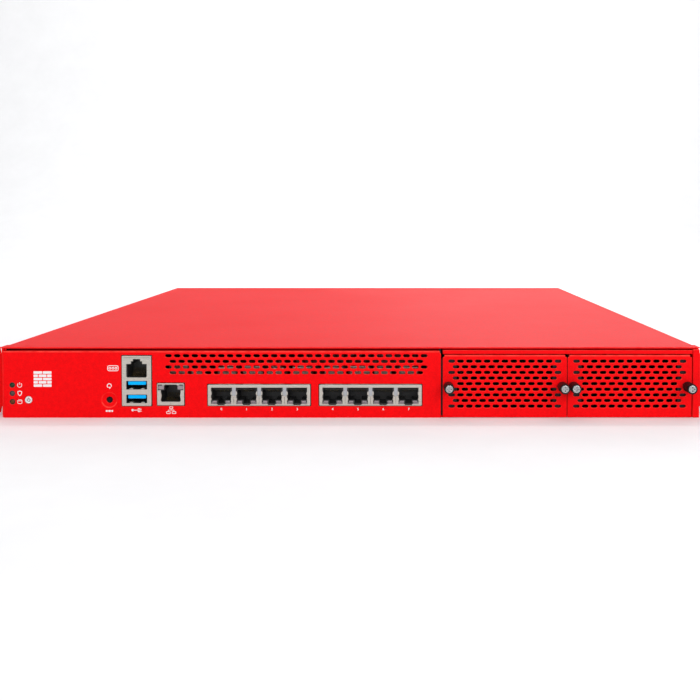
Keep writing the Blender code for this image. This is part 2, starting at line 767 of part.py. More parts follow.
def console_stack():
    """A modular console jack over two USB sockets, in one metal shell."""
    centre = PLACES["console"]
    across = about(centre, CONSOLE_WIDTH)
    shell_front = FRONT - JACK_PROUD
    shell_back = shell_front + CONSOLE_DEPTH
    top = CONSOLE_BASE + CONSOLE_HEIGHT
    shell = block("console_usb_shell", across, (shell_front, shell_back), (CONSOLE_BASE, top))
    piece(shell, "nickel")
    jack_up = (CONSOLE_BASE + CONSOLE_JACK_FLOOR, top - JACK_WALL)
    cavity_along = (shell_front + JACK_WALL, shell_back + JACK_WALL)
    combine(shell, block("console_cavity", grown(across, -JACK_WALL), cavity_along, jack_up), "DIFFERENCE")
    mouths = (shell_front - JACK_WALL, shell_front + 2 * JACK_WALL)
    base = jack_up[0]
    for cutter in mouth_blocks("console_mouth", [centre], base, CONSOLE_MOUTH, True, mouths):
        combine(shell, cutter, "DIFFERENCE")
    usb_spans = [
        (
            about(centre, USB_WIDTH),
            (shell_front - JACK_WALL, shell_front + USB_DEPTH),
            (CONSOLE_BASE + floor, CONSOLE_BASE + floor + USB_HEIGHT),
        )
        for floor in USB_FLOORS
    ]
    combine(shell, blocks("usb_pockets", usb_spans), "DIFFERENCE")
    insert_front = shell_front + JACK_WALL + CLEARANCE
    inner = JACK_WALL + CLEARANCE
    insert = block(
        "console_jack_insert",
        grown(across, -inner),
        (insert_front, shell_back - CLEARANCE),
        grown(jack_up, -CLEARANCE),
    )
    piece(insert, "black plastic")
    pockets = (insert_front - JACK_WALL, insert_front + PORT_DEPTH)
    for cutter in mouth_blocks("console_pocket", [centre], base, CONSOLE_MOUTH, True, pockets):
        combine(insert, cutter, "DIFFERENCE")
    for label, floor in zip(("lower", "upper"), USB_FLOORS):
        tongue_top = CONSOLE_BASE + floor + USB_HEIGHT - TONGUE_DROP
        along = (shell_front + JACK_WALL, shell_front + USB_DEPTH - CLEARANCE)
        up = (tongue_top - TONGUE_HEIGHT, tongue_top)
        piece(block(f"usb_tongue_{label}", about(centre, TONGUE_WIDTH), along, up), "blue plastic")


def control_board_front():
    """Where the control board's front face stands, clear of the power button pressed right in."""
    return BEHIND_PANEL + BUTTON_FLANGE + BUTTON_STEM + POWER_TRAVEL + CLEARANCE


def lights_and_buttons():
    board_front = control_board_front() + BUTTON_FLANGE
    colours = ("green lens", "grey lens", "amber lens")
    length = board_front - CLEARANCE - FRONT
    for (name, up), colour in zip(LIGHT_HEIGHTS.items(), colours):
        radius = LIGHT_DIAMETER / 2
        lens = [
            (0.0, length),
            (radius * 0.6, length),
            (radius, length - radius * 0.3),
            (radius, LIGHT_FLANGE_LENGTH),
            (LIGHT_FLANGE, LIGHT_FLANGE_LENGTH),
            (LIGHT_FLANGE, 0.0),
            (0.0, 0.0),
        ]
        place = (PLACES["light"], FRONT + length, up)
        piece(turned(f"status_light_{name}", lens, place), colour)
    button("power_button", PLACES["power"], POWER_DIAMETER / 2, 0.0, "white plastic")
    button("reset_button", PLACES["reset"], RESET_DIAMETER / 2, CLEARANCE * 3, "black plastic")
    left = -SIDE + POST_WIDTH + CLEARANCE * 2
    right = PLACES["power"] + SWITCH_SIZE
    bottom = BOARD_TOP + CLEARANCE
    board = block(
        "control_board",
        (left, right),
        (board_front, board_front + BOARD_SHEET),
        (bottom, bottom + CONTROL_BOARD_HEIGHT),
    )
    piece(board, "green board")
    switch = block(
        "power_switch",
        about(PLACES["power"], SWITCH_SIZE),
        (control_board_front(), board_front + BOARD_SHEET / 2),
        about(BUTTON_HEIGHT, SWITCH_SIZE),
    )
    combine(board, switch, "UNION")


def button(name, across, hole, sunk, finish):
    """A push button: its cap in the panel's hole, a flange that keeps it in, and a stem behind."""
    axis = joint_empty(f"{name}_slide", (across, FRONT, BUTTON_HEIGHT))
    cap = hole - CLEARANCE
    behind = FRONT - BEHIND_PANEL
    profile = [
        (0.0, -sunk),
        (cap, -sunk),
        (cap, behind),
        (cap + BUTTON_FLANGE, behind),
        (cap + BUTTON_FLANGE, behind - BUTTON_FLANGE),
        (cap / 2, behind - BUTTON_FLANGE),
        (cap / 2, behind - BUTTON_FLANGE - BUTTON_STEM),
        (0.0, behind - BUTTON_FLANGE - BUTTON_STEM),
    ]
    piece(turned(name, profile, (across, FRONT, BUTTON_HEIGHT)), finish, axis)


def main_board():
    """The main board with what is soldered to it: processor, memory sockets, reset switch."""
    left, right, front, step, narrow, back = board_corners()
    corners = [(left, front), (right, front), (right, back), (narrow, back), (narrow, step), (left, step)]
    place = (0.0, 0.0, (BOARD_BASE + BOARD_TOP) / 2)
    board = outline("main_board", corners, BOARD_SHEET, "Z", place)
    piece(board, "green board")
    root = BOARD_TOP - BOARD_SHEET / 2
    sink_across, sink_along = sink_place()
    processor = block(
        "processor",
        about(sink_across, PROCESSOR),
        about(sink_along, PROCESSOR),
        (root, BOARD_TOP + PROCESSOR_HEIGHT),
    )
    combine(board, processor, "UNION")
    switch_front = BEHIND_PANEL + BUTTON_FLANGE + BUTTON_STEM + RESET_TRAVEL + CLEARANCE
    switch = block(
        "reset_switch",
        about(PLACES["reset"], SWITCH_SIZE),
        (switch_front, switch_front + SWITCH_SIZE),
        (root, BUTTON_HEIGHT + SWITCH_SIZE / 2),
    )
    combine(board, switch, "UNION")
    for number, (across, along) in enumerate(memory_places()):
        socket = block(
            f"memory_socket_{number}",
            about(across, MEMORY_THICKNESS * 2),
            about(along, MEMORY_LENGTH + SOCKET_HEIGHT),
            (root, BOARD_TOP + SOCKET_HEIGHT),
        )
        combine(board, socket, "UNION")
        groove = block(
            f"memory_groove_{number}",
            grown(about(across, MEMORY_THICKNESS)),
            grown(about(along, MEMORY_LENGTH)),
            (BOARD_TOP + SOCKET_SLOT_FLOOR, BOARD_TOP + SOCKET_HEIGHT * 2),
        )
        combine(board, groove, "DIFFERENCE")


def sink_place():
    """Centre of the heat sink, in the middle of the wide part of the board, towards the bays."""
    left, right, front, step, narrow, back = board_corners()
    return right - BOARD_MARGIN * 3 - SINK_WIDTH / 2, (front + step) / 2 + JACK_DEPTH


def memory_places():
    left, right, front, step, narrow, back = board_corners()
    first = left + MEMORY_SPACING * 2
    along = front + CONSOLE_DEPTH + BOARD_MARGIN + MEMORY_LENGTH / 2
    return [(first, along), (first + MEMORY_SPACING, along)]


def on_board():
    """What plugs into or stands on the main board, and the drive beside it."""
    sink_across, sink_along = sink_place()
    base = BOARD_TOP + PROCESSOR_HEIGHT + CLEARANCE
    top = COVER_UNDER - SINK_HEADROOM
    left = sink_across - SINK_WIDTH / 2
    pitch = (SINK_WIDTH - SINK_FIN) / (SINK_FINS - 1)
    comb = [(left, base), (left + SINK_WIDTH, base)]
    root = base + SINK_BASE
    for fin in reversed(range(SINK_FINS)):
        start = left + fin * pitch
        end = start + SINK_FIN
        comb += [(end, root), (end, top), (start, top), (start, root)]
    comb = comb[:2] + comb[3:-1]
    sink = outline("processor_heat_sink", comb, SINK_DEPTH, "Y", (0.0, sink_along, 0.0))
    piece(sink, "aluminium")
    for number, (across, along) in enumerate(memory_places()):
        bottom = BOARD_TOP + SOCKET_SLOT_FLOOR + CLEARANCE
        module = block(
            f"memory_module_{number + 1}",
            about(across, MEMORY_THICKNESS),
            about(along, MEMORY_LENGTH),
            (bottom, bottom + MEMORY_HEIGHT),
        )
        piece(module, "green board")
    left, right, front, step, narrow, back = board_corners()
    place = ((narrow + right) / 2, step + CELL_RADIUS * 4, BOARD_TOP + CLEARANCE)
    piece(disc("backup_cell", CELL_RADIUS, CELL_HEIGHT, place, FAN_SIDES, upright=True), "zinc")
    drive_and_bracket()


def drive_and_bracket():
    """A 2.5 inch drive in a channel on the floor, behind the bays."""
    centre = (BAY_LEFT + BAY_RIGHT) / 2
    along = about((BAY_BACK + FAN_FRONT) / 2, DRIVE_LENGTH)
    inner = DRIVE_WIDTH / 2 + CLEARANCE
    outer = inner + SHEET
    low = FLOOR_TOP
    floor = low + SHEET
    high = low + BRACKET_RISE
    section = [
        (centre - outer, low),
        (centre + outer, low),
        (centre + outer, high),
        (centre + inner, high),
        (centre + inner, floor),
        (centre - inner, floor),
        (centre - inner, high),
        (centre - outer, high),
    ]
    place = (0.0, (along[0] + along[1]) / 2, 0.0)
    piece(outline("drive_bracket", section, DRIVE_LENGTH + 2 * SHEET, "Y", place), "zinc")
    up = (floor + DRIVE_LIFT, floor + DRIVE_LIFT + DRIVE_HEIGHT)
    piece(block("storage_drive", about(centre, DRIVE_WIDTH), along, up), "aluminium")


def rotor(name, place, hub, tip, length, chord, parent=None):
    """A fan rotor about a front-to-back axis: a hub with slanted blades. Its front is at place."""
    edge = hub / 10
    profile = [(0.0, 0.0), (hub - edge, 0.0), (hub, -edge), (hub, -length), (0.0, -length)]
    axis = joint_empty(f"{name}_axis", place, parent)
    form = bmesh.new()
    root = hub - 2 * edge
    blade = Matrix.Diagonal((tip - root, SHEET, chord, 1.0))
    for index in range(FAN_BLADES):
        turn = Matrix.Rotation(2 * math.pi * index / FAN_BLADES, 4, "Z")
        slant = Matrix.Rotation(math.radians(BLADE_SLANT), 4, "X")
        out = Matrix.Translation(((tip + root) / 2, 0.0, -length / 2))
        bmesh.ops.create_cube(form, size=1.0, matrix=turn @ out @ slant @ blade)
    mesh = bpy.data.meshes.new(name + "_blades")
    form.to_mesh(mesh)
    form.free()
    blades = bpy.data.objects.new(name + "_blades", mesh)
    blades.location = place
    blades.rotation_euler = (math.pi / 2, 0.0, 0.0)
    spinner = piece(turned(name, profile, place, FAN_SIDES), "black plastic", axis)
    combine(spinner, blades, "UNION")


def case_fans():
    for number in range(1, FANS + 1):
        across = FIRST_FAN + (number - 1) * FAN_PITCH
        square = rectangle(about(across, FAN_SIZE), (FAN_BASE, FAN_BASE + FAN_SIZE))
        bore = circle(across, FAN_HEIGHT, FAN_BORE, FAN_SIDES)
        place = (0.0, FAN_FRONT + FAN_DEPTH / 2, 0.0)
        frame = outline(f"fan_frame_{number}", square, FAN_DEPTH, "Y", place, [bore])
        piece(frame, "black plastic")
        stator = (FAN_FRONT + FAN_DEPTH - FAN_STATOR - SHEET, FAN_FRONT + FAN_DEPTH - SHEET)
        reach = FAN_BORE + SHEET / 2
        level = (about(across, 2 * reach), grown(stator, -CLEARANCE), about(FAN_HEIGHT, FAN_STRUT))
        upright = (about(across, FAN_STRUT), grown(stator, -CLEARANCE), about(FAN_HEIGHT, 2 * reach))
        combine(frame, block(f"fan_strut_level_{number}", *level), "UNION")
        combine(frame, block(f"fan_strut_upright_{number}", *upright), "UNION")
        hub_back = (across, stator[1], FAN_HEIGHT)
        combine(frame, disc(f"fan_motor_{number}", FAN_HUB, FAN_STATOR, hub_back, FAN_SIDES), "UNION")
        length = stator[0] - 3 * CLEARANCE - FAN_FRONT - SHEET
        start = (across, FAN_FRONT + SHEET, FAN_HEIGHT)
        rotor(f"fan_rotor_{number}", start, FAN_HUB, FAN_TIP, length, FAN_BLADE_CHORD)


def rear_panel():
    """Back plate with the power modules' window, the fans' holes and a row of tall vents."""
    window = ((MODULES_LEFT, MODULES_RIGHT), (MODULE_BASE, MODULE_BASE + MODULE_HEIGHT))
    holes = [rectangle(*map(grown, window))]
    for number in range(FANS):
        holes.append(circle(FIRST_FAN + number * FAN_PITCH, FAN_HEIGHT, FAN_BORE, FAN_SIDES))
    last_slot = WALL_SIDE - REAR_SLOT_MARGIN
    fans_right = FIRST_FAN + (FANS - 1) * FAN_PITCH + FAN_SIZE / 2
    for number in range(int((last_slot - fans_right) / REAR_SLOT_PITCH)):
        across = last_slot - number * REAR_SLOT_PITCH
        holes.append(slot_outline(across, FAN_HEIGHT, REAR_SLOT_WIDTH, REAR_SLOT_HEIGHT))
    face = rectangle((-WALL_SIDE, WALL_SIDE), (0.0, WALL_TOP))
    place = (0.0, BACK - SHEET / 2, 0.0)
    piece(outline("rear_panel", face, SHEET, "Y", place, holes), "red paint")


def power_modules():
    for number in range(1, MODULES + 1):
        left = MODULES_LEFT + (number - 1) * (MODULE_WIDTH + MODULE_SPACING)
        slide = joint_empty(f"power_module_{number}_slide", (left + MODULE_WIDTH / 2, BACK, MODULE_BASE))
        up = (MODULE_BASE, MODULE_BASE + MODULE_HEIGHT)
        case = block(f"power_case_{number}", (left, left + MODULE_WIDTH), (MODULE_FRONT, BACK), up)
        piece(case, "zinc", slide)
        past = BACK + SHEET
        fan_at = (left + MODULE_FAN_CENTRE, MODULE_BASE + MODULE_HEIGHT / 2)
        mouth = (fan_at[0], past, fan_at[1])
        depth = MODULE_FAN_DEPTH + SHEET
        well = disc(f"power_fan_well_{number}", MODULE_FAN_BORE, depth, mouth, FAN_SIDES)
        combine(case, well, "DIFFERENCE")
        inlet_across = about(left + INLET_CENTRE, INLET_WIDTH)
        inlet_up = about(MODULE_BASE + MODULE_HEIGHT / 2 - LATCH_HEIGHT, INLET_HEIGHT)
        pocket = block(
            f"inlet_pocket_{number}",
            grown(inlet_across),
            (BACK - INLET_DEPTH - CLEARANCE, past),
            grown(inlet_up),
        )
        combine(case, pocket, "DIFFERENCE")
        mains_inlet(number, inlet_across, inlet_up, slide)
        latch(number, case, left + INLET_CENTRE, inlet_up[1], slide)
        handle(number, left, slide)
        start = (fan_at[0], BACK - MODULE_FAN_DEPTH + SHEET * 2, fan_at[1])
        length = MODULE_FAN_DEPTH - SHEET * 4
        name = f"power_rotor_{number}"
        rotor(name, start, MODULE_FAN_HUB, MODULE_FAN_TIP, length, MODULE_BLADE_CHORD, slide)
    midplane()


def mains_inlet(number, across, up, slide):
    """A male mains inlet: a housing open to the rear, with three pins in it."""
    body = block(f"power_inlet_{number}", across, (BACK - INLET_DEPTH, BACK), up)
    piece(body, "black plastic", slide)
    floor = BACK - INLET_DEPTH + INLET_FLOOR
    recess = block(
        f"inlet_recess_{number}",
        grown(across, -INLET_WALL),
        (floor, BACK + SHEET),
        grown(up, -INLET_WALL),
    )
    combine(body, recess, "DIFFERENCE")
    centre = (across[0] + across[1]) / 2
    middle = (up[0] + up[1]) / 2
    reach = (floor - SHEET, BACK - INLET_FLOOR)
    pins = []
    for shift, rise in ((-PIN_SHIFT, -PIN_SPACING), (EARTH_PIN_SHIFT, 0.0), (-PIN_SHIFT, PIN_SPACING)):
        pins.append((about(centre + shift, PIN_WIDTH), reach, about(middle + rise, PIN_THICKNESS)))
    combine(body, blocks(f"inlet_pins_{number}", pins), "UNION")


def latch(number, case, across, above, slide):
    """The release tab over the inlet: it slides sideways in a slot of the case."""
    bottom = above + SHEET
    up = (bottom, bottom + LATCH_HEIGHT)
    start = across - LATCH_WIDTH / 2 + LATCH_TRAVEL / 2
    place = (start + LATCH_WIDTH / 2, BACK, bottom)
    axis = joint_empty(f"power_latch_{number}_slide", place, slide)
    along = (BACK - LATCH_DEPTH, BACK + LATCH_REACH)
    tab = block(f"power_latch_{number}", (start, start + LATCH_WIDTH), along, up)
    piece(tab, "release green", axis)
    room = block(
        f"latch_slot_{number}",
        (start - LATCH_TRAVEL - CLEARANCE, start + LATCH_WIDTH + CLEARANCE),
        (BACK - LATCH_DEPTH - CLEARANCE, BACK + SHEET),
        grown(up),
    )
    combine(case, room, "DIFFERENCE")


def handle(number, left, slide):
    """A round bail below the module's fan, bent from one rod."""
    near = left + HANDLE_INSET
    far = left + 2 * MODULE_FAN_CENTRE - HANDLE_INSET
    level = MODULE_BASE + HANDLE_INSET
    start = BACK + CLEARANCE
    end = BACK + HANDLE_REACH
    path = [(near, start)]
    for across, first in ((near + HANDLE_BEND, 180), (far - HANDLE_BEND, 90)):
        for step in range(4):
            turn = math.radians(first - 30 * step)
            along = end - HANDLE_BEND + HANDLE_BEND * math.sin(turn)
            path.append((across + HANDLE_BEND * math.cos(turn), along))
    path.append((far, start))
    curve = bpy.data.curves.new(f"power_handle_{number}", "CURVE")
    curve.dimensions = "3D"
    curve.bevel_depth = HANDLE_RADIUS
    curve.bevel_resolution = 1
    curve.use_fill_caps = True
    line = curve.splines.new("POLY")
    line.points.add(len(path) - 1)
    middle = Vector(((near + far) / 2, BACK, level))
    for point, (across, along) in zip(line.points, path):
        point.co = (across - middle.x, along - middle.y, 0.0, 1.0)
    bail = bpy.data.objects.new(f"power_handle_{number}", curve)
    bail.location = middle
    piece(bail, "nickel", slide)


def midplane():
    """The upright board that the power modules plug into."""
    behind = MODULE_FRONT - MIDPLANE_GAP - MIDPLANE_SOCKET
    along = (behind - BOARD_SHEET, behind)
    up = (BOARD_TOP + CLEARANCE, MODULE_BASE + MODULE_HEIGHT - SHEET)
    board = block("power_midplane", (MODULES_LEFT, MODULES_RIGHT), along, up)
    piece(board, "green board")
    reach = (along[1] - SHEET / 2, MODULE_FRONT - MIDPLANE_GAP)
    rise = (SOCKET_BASE, SOCKET_BASE + SOCKET_RISE)
    sockets = []
    for number in range(MODULES):
        centre = MODULES_LEFT + MODULE_WIDTH / 2 + number * (MODULE_WIDTH + MODULE_SPACING)
        sockets.append((about(centre, MODULE_WIDTH * SOCKET_SPAN_SHARE), reach, rise))
    combine(board, blocks("midplane_sockets", sockets), "UNION")


def rack_ears():
    """An ear each side: a leg along the cover's skirt and a flange with the rack's two slots."""
    inner = COVER_SIDE + CLEARANCE
    outer = RACK_WIDTH / 2
    front = FRONT + POST_DEPTH + CLEARANCE
    low = (WALL_TOP - EAR_HEIGHT) / 2 + SHEET / 2
    high = low + EAR_HEIGHT
    neck = inner + EAR_NECK
    middle = (low + high) / 2
    for name, way in (("left", -1), ("right", 1)):
        edge = inner + CLEARANCE
        corners = [
            (edge, EAR_NECK_SPAN[0]),
            (neck, EAR_NECK_SPAN[0]),
            (neck, low),
            (outer, low),
            (outer, high),
            (neck, high),
            (neck, EAR_NECK_SPAN[1]),
            (edge, EAR_NECK_SPAN[1]),
        ]
        slots = [
            slot_outline(way * RACK_HOLE_SPACING / 2, middle + rise, EAR_SLOT_LENGTH, EAR_SLOT_HEIGHT)
            for rise in (-RACK_HOLE_RISE / 2, RACK_HOLE_RISE / 2)
        ]
        face = [(way * across, up) for across, up in corners]
        place = (0.0, front + EAR_SHEET / 2, 0.0)
        ear = outline(f"rack_ear_{name}", face, EAR_SHEET, "Y", place, slots)
        piece(ear, "red paint")
        across = sorted((way * inner, way * (inner + EAR_SHEET)))
        up = grown(EAR_NECK_SPAN, -CLEARANCE)
        leg = block(f"ear_leg_{name}", across, (front + EAR_SHEET / 2, front + EAR_LEG), up)
        combine(ear, leg, "UNION")


def build():
    tray()
    cover()
    front_panel()
    bay_structure()
    filler_panels()
    console_stack()
    jack_bank(
        "management_jack",
        PLACES["management"],
        MANAGEMENT_WIDTH,
        MANAGEMENT_BASE,
        MANAGEMENT_HEIGHT,
        1,
        MANAGEMENT_MOUTH,
        True,
    )
    for label in ("a", "b"):
        jack_bank(
            f"port_bank_{label}",
            PLACES[f"ports_{label}"],
            GANG_WIDTH,
            GANG_BASE,
            GANG_HEIGHT,
            GANG_PORTS,
            GANG_MOUTH,
            False,
        )
    lights_and_buttons()
    main_board()
    on_board()
    case_fans()
    rear_panel()
    power_modules()
    rack_ears()


build()
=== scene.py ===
import math

import bmesh
import bpy
from bpy.props import FloatProperty, FloatVectorProperty, IntProperty, PointerProperty
from mathutils import Matrix, Vector


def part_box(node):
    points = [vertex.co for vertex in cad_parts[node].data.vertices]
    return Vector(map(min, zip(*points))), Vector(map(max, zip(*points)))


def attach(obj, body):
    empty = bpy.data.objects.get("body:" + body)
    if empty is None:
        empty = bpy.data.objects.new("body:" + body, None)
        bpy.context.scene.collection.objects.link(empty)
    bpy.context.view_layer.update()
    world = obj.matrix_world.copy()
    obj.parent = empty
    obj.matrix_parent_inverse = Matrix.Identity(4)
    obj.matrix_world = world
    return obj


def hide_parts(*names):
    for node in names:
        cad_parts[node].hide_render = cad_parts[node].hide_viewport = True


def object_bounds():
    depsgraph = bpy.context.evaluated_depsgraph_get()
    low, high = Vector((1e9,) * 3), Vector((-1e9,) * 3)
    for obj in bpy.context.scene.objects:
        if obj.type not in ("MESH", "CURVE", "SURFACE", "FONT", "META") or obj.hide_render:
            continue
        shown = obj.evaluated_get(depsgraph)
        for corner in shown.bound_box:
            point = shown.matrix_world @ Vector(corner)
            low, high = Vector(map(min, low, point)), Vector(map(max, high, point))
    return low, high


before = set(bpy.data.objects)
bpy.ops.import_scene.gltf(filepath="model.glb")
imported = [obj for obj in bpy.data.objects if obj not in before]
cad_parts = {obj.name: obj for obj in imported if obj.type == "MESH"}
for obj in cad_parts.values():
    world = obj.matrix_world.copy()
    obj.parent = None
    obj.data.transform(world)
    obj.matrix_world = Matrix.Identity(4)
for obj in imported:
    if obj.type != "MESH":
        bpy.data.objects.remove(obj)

bl_info = {
    "name": "Rack firewall appliance",
    "version": (1, 0, 0),
    "blender": (4, 5, 0),
    "location": "View3D > Sidebar > Appliance",
    "description": "Builds the visible pieces of a one-unit firewall appliance over its packed model",
    "category": "Add Mesh",
}

SOLID_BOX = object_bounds()
MM = 0.001
AXES = {"X": Vector((1, 0, 0)), "Y": Vector((0, 1, 0)), "Z": Vector((0, 0, 1))}
# How a flat outline stands when it faces each axis: its own X, Y and thickness in world terms
FACINGS = {
    "X": Matrix(((0, 0, 1, 0), (1, 0, 0, 0), (0, 1, 0, 0), (0, 0, 0, 1))),
    "Y": Matrix(((1, 0, 0, 0), (0, 0, -1, 0), (0, 1, 0, 0), (0, 0, 0, 1))),
    "Z": Matrix.Identity(4),
}
SIDES = (("left", -1), ("right", 1))


# ---------------------------------------------------------------- sizes and colours


def distance(name, description, default):
    return FloatProperty(name=name, description=description, default=default, unit="LENGTH", precision=5)


def colour(name, description, default):
    return FloatVectorProperty(
        name=name, description=description, default=default, subtype="COLOR", size=3, min=0.0, max=1.0
    )


class ApplianceSizes(bpy.types.PropertyGroup):
    """Sizes of the details that the solid model leaves plain"""

    hole_edge: distance("Hole edge", "Rounding of punched holes and cut sheet edges", 0.00014)
    top_bend: distance("Top bend", "Outer radius of the bend along a panel's top edge", 0.0011)
    side_bend: distance("Side bend", "Outer radius of the front panel's left bend", 0.0025)
    cover_bend: distance("Cover bend", "Outer radius of the cover's two long bends", 0.0012)
    slot_length: distance("Slot length", "Length of a vent slot", 0.0043)
    slot_height: distance("Slot height", "Height of a vent slot", 0.0021)
    row_pitch: distance("Row pitch", "Height between two rows of vent slots", 0.00354)
    panel_pitch: distance("Panel slot pitch", "Distance between slots of the front panel", 0.00552)
    filler_pitch: distance("Filler slot pitch", "Distance between slots of a filler panel", 0.00555)
    dish_radius: distance("Dish radius", "Radius of the dish pressed round the reset button", 0.0056)
    ink_height: distance("Ink height", "Thickness of the printed marks", 0.00006)
    guard_wire: distance("Guard wire", "Radius of the fan guards' wire", 0.0006)
    knurls: IntProperty(name="Knurls", description="Ridges round a thumb screw's knob", default=26, min=12)
    blades: IntProperty(name="Fan blades", description="Blades of each fan rotor", default=5, min=3)


class ApplianceColours(bpy.types.PropertyGroup):
    """Colours of the paint, metals and plastics"""

    red: colour("Red paint", "Powder coat of the case", (0.81, 0.002, 0.004))
    # Painted highlight: a lighter red laid along bends and edges of the red paint, strongest where they
    # face up.
    red_light: colour("Red edge highlight", "Painted highlight along bends and edges", (1.0, 0.085, 0.06))
    zinc: colour("Zinc", "Plated sheet inside and on the power modules", (0.45, 0.46, 0.48))
    # Painted shade: a near-black colour on the bays and the tray's inside, where only shade shows through
    # the vent slots.
    dark_zinc: colour("Shade black", "Painted shade on the bays and the tray's inside",
                      (0.006, 0.006, 0.007))
    nickel: colour("Nickel", "Shells of the jacks", (0.55, 0.52, 0.465))
    steel: colour("Steel", "Screws, guards and handles", (0.42, 0.42, 0.42))
    gold: colour("Gold", "Spring contacts", (0.83, 0.60, 0.24))
    black: colour("Black plastic", "Jack inserts, fans and inlets", (0.012, 0.012, 0.013))
    fan: colour("Fan black", "Fan frames, blades and mains inlets", (0.022, 0.022, 0.024))
    knob: colour("Knob black", "Knurled knobs", (0.010, 0.010, 0.011))
    blue: colour("Blue plastic", "Tongues of the USB sockets", (0.0, 0.44, 1.0))
    green_lens: colour("Green lens", "Power light", (0.010, 0.030, 0.008))
    grey_lens: colour("Grey lens", "Second light", (0.075, 0.055, 0.05))
    amber_lens: colour("Amber lens", "Storage light", (0.10, 0.028, 0.002))
    clear: colour("Light pipe", "Clear light pipes of the jacks", (0.26, 0.21, 0.23))
    white: colour("White", "Printed marks and the power button's ring", (0.80, 0.79, 0.79))
    grey: colour("Grey", "Marks on white plastic", (0.07, 0.07, 0.075))
    board: colour("Board", "Solder mask of the circuit boards", (0.010, 0.085, 0.035))
    trace: colour("Trace", "Copper under the solder mask", (0.030, 0.19, 0.075))
    aluminium: colour("Aluminium", "Heat sinks and the drive's case", (0.66, 0.67, 0.69))
    release: colour("Release green", "Latches of the power modules", (0.02, 0.30, 0.13))
    floor: colour("Floor", "Studio floor", (0.90, 0.90, 0.90))


def sizes():
    return bpy.context.scene.appliance_sizes


def colours():
    return bpy.context.scene.appliance_colours


# ---------------------------------------------------------------- shader groups and materials


def node_group(name, inputs, outputs):
    """An empty shader group with its sockets, and its input and output nodes."""
    tree = bpy.data.node_groups.new(name, "ShaderNodeTree")
    for label, kind, default in inputs:
        socket = tree.interface.new_socket(label, in_out="INPUT", socket_type=kind)
        socket.default_value = default
    for label, kind in outputs:
        tree.interface.new_socket(label, in_out="OUTPUT", socket_type=kind)
    return tree, tree.nodes.new("NodeGroupInput"), tree.nodes.new("NodeGroupOutput")


def maths(tree, operation, first, second, clamp=False):
    node = tree.nodes.new("ShaderNodeMath")
    node.operation = operation
    node.use_clamp = clamp
    for socket, value in zip(node.inputs, (first, second)):
        if isinstance(value, float):
            socket.default_value = value
        else:
            tree.links.new(value, socket)
    return node.outputs[0]


NOISE_ROUGHNESS = 0.55


def noise(tree, coordinates, scale, detail):
    node = tree.nodes.new("ShaderNodeTexNoise")
    node.inputs["Detail"].default_value = detail
    node.inputs["Roughness"].default_value = NOISE_ROUGHNESS
    tree.links.new(coordinates, node.inputs["Vector"])
    if isinstance(scale, float):
        node.inputs["Scale"].default_value = scale
    else:
        tree.links.new(scale, node.inputs["Scale"])
    return node.outputs["Fac"]


def surface_grain():
    """Group: two octaves of grain, stretched along an axis, as a tone and a height."""
    tree, given, made = node_group(
        "surface_grain",
        [
            ("Coordinates", "NodeSocketVector", (0, 0, 0)),
            ("Stretch", "NodeSocketVector", (1, 1, 1)),
            ("Scale", "NodeSocketFloat", 900.0),
            ("Blotch Scale", "NodeSocketFloat", 14.0),
        ],
        [("Tone", "NodeSocketFloat"), ("Height", "NodeSocketFloat"), ("Blotch", "NodeSocketFloat")],
    )
    stretch = tree.nodes.new("ShaderNodeVectorMath")
    stretch.operation = "MULTIPLY"
    tree.links.new(given.outputs["Coordinates"], stretch.inputs[0])
    tree.links.new(given.outputs["Stretch"], stretch.inputs[1])
    fine = noise(tree, stretch.outputs[0], given.outputs["Scale"], 2.0)
    coarse = noise(tree, stretch.outputs[0], maths(tree, "MULTIPLY", given.outputs["Scale"], 0.31), 1.0)
    both = maths(tree, "ADD", maths(tree, "MULTIPLY", fine, 0.6), maths(tree, "MULTIPLY", coarse, 0.4))
    blotch = noise(tree, given.outputs["Coordinates"], given.outputs["Blotch Scale"], 3.0)
    sharp = maths(tree, "SUBTRACT", maths(tree, "MULTIPLY", both, 2.6), 0.8, clamp=True)
    tree.links.new(sharp, made.inputs["Tone"])
    tree.links.new(both, made.inputs["Height"])
    tree.links.new(blotch, made.inputs["Blotch"])
    return tree


def edge_wear():
    """Group: a broken mask along the bends and edges that each piece marks, for edge wear, and on the red
    paint for a painted highlight.
    """
    tree, given, made = node_group(
        "edge_wear",
        [("Coordinates", "NodeSocketVector", (0, 0, 0)), ("Amount", "NodeSocketFloat", 0.5)],
        [("Mask", "NodeSocketFloat")],
    )
    marked = tree.nodes.new("ShaderNodeAttribute")
    marked.attribute_name = "edge"
    rub = noise(tree, given.outputs["Coordinates"], 260.0, 3.0)
    broken = maths(tree, "SUBTRACT", maths(tree, "MULTIPLY", rub, 2.4), 0.5, clamp=True)
    on_edge = maths(tree, "MULTIPLY", marked.outputs["Fac"], broken)
    tree.links.new(maths(tree, "MULTIPLY", on_edge, given.outputs["Amount"], clamp=True),
                   made.inputs["Mask"])
    return tree


def settled_dust():
    """Group: a faint dust on faces that look up."""
    tree, given, made = node_group(
        "settled_dust",
        [("Coordinates", "NodeSocketVector", (0, 0, 0)), ("Amount", "NodeSocketFloat", 0.1)],
        [("Mask", "NodeSocketFloat")],
    )
    face = tree.nodes.new("ShaderNodeNewGeometry")
    apart = tree.nodes.new("ShaderNodeSeparateXYZ")
    tree.links.new(face.outputs["Normal"], apart.inputs[0])
    upward = maths(tree, "MAXIMUM", apart.outputs["Z"], 0.0)
    patches = noise(tree, given.outputs["Coordinates"], 55.0, 4.0)
    cover = maths(tree, "MULTIPLY", upward, patches)
    tree.links.new(maths(tree, "MULTIPLY", cover, given.outputs["Amount"], clamp=True), made.inputs["Mask"])
    return tree


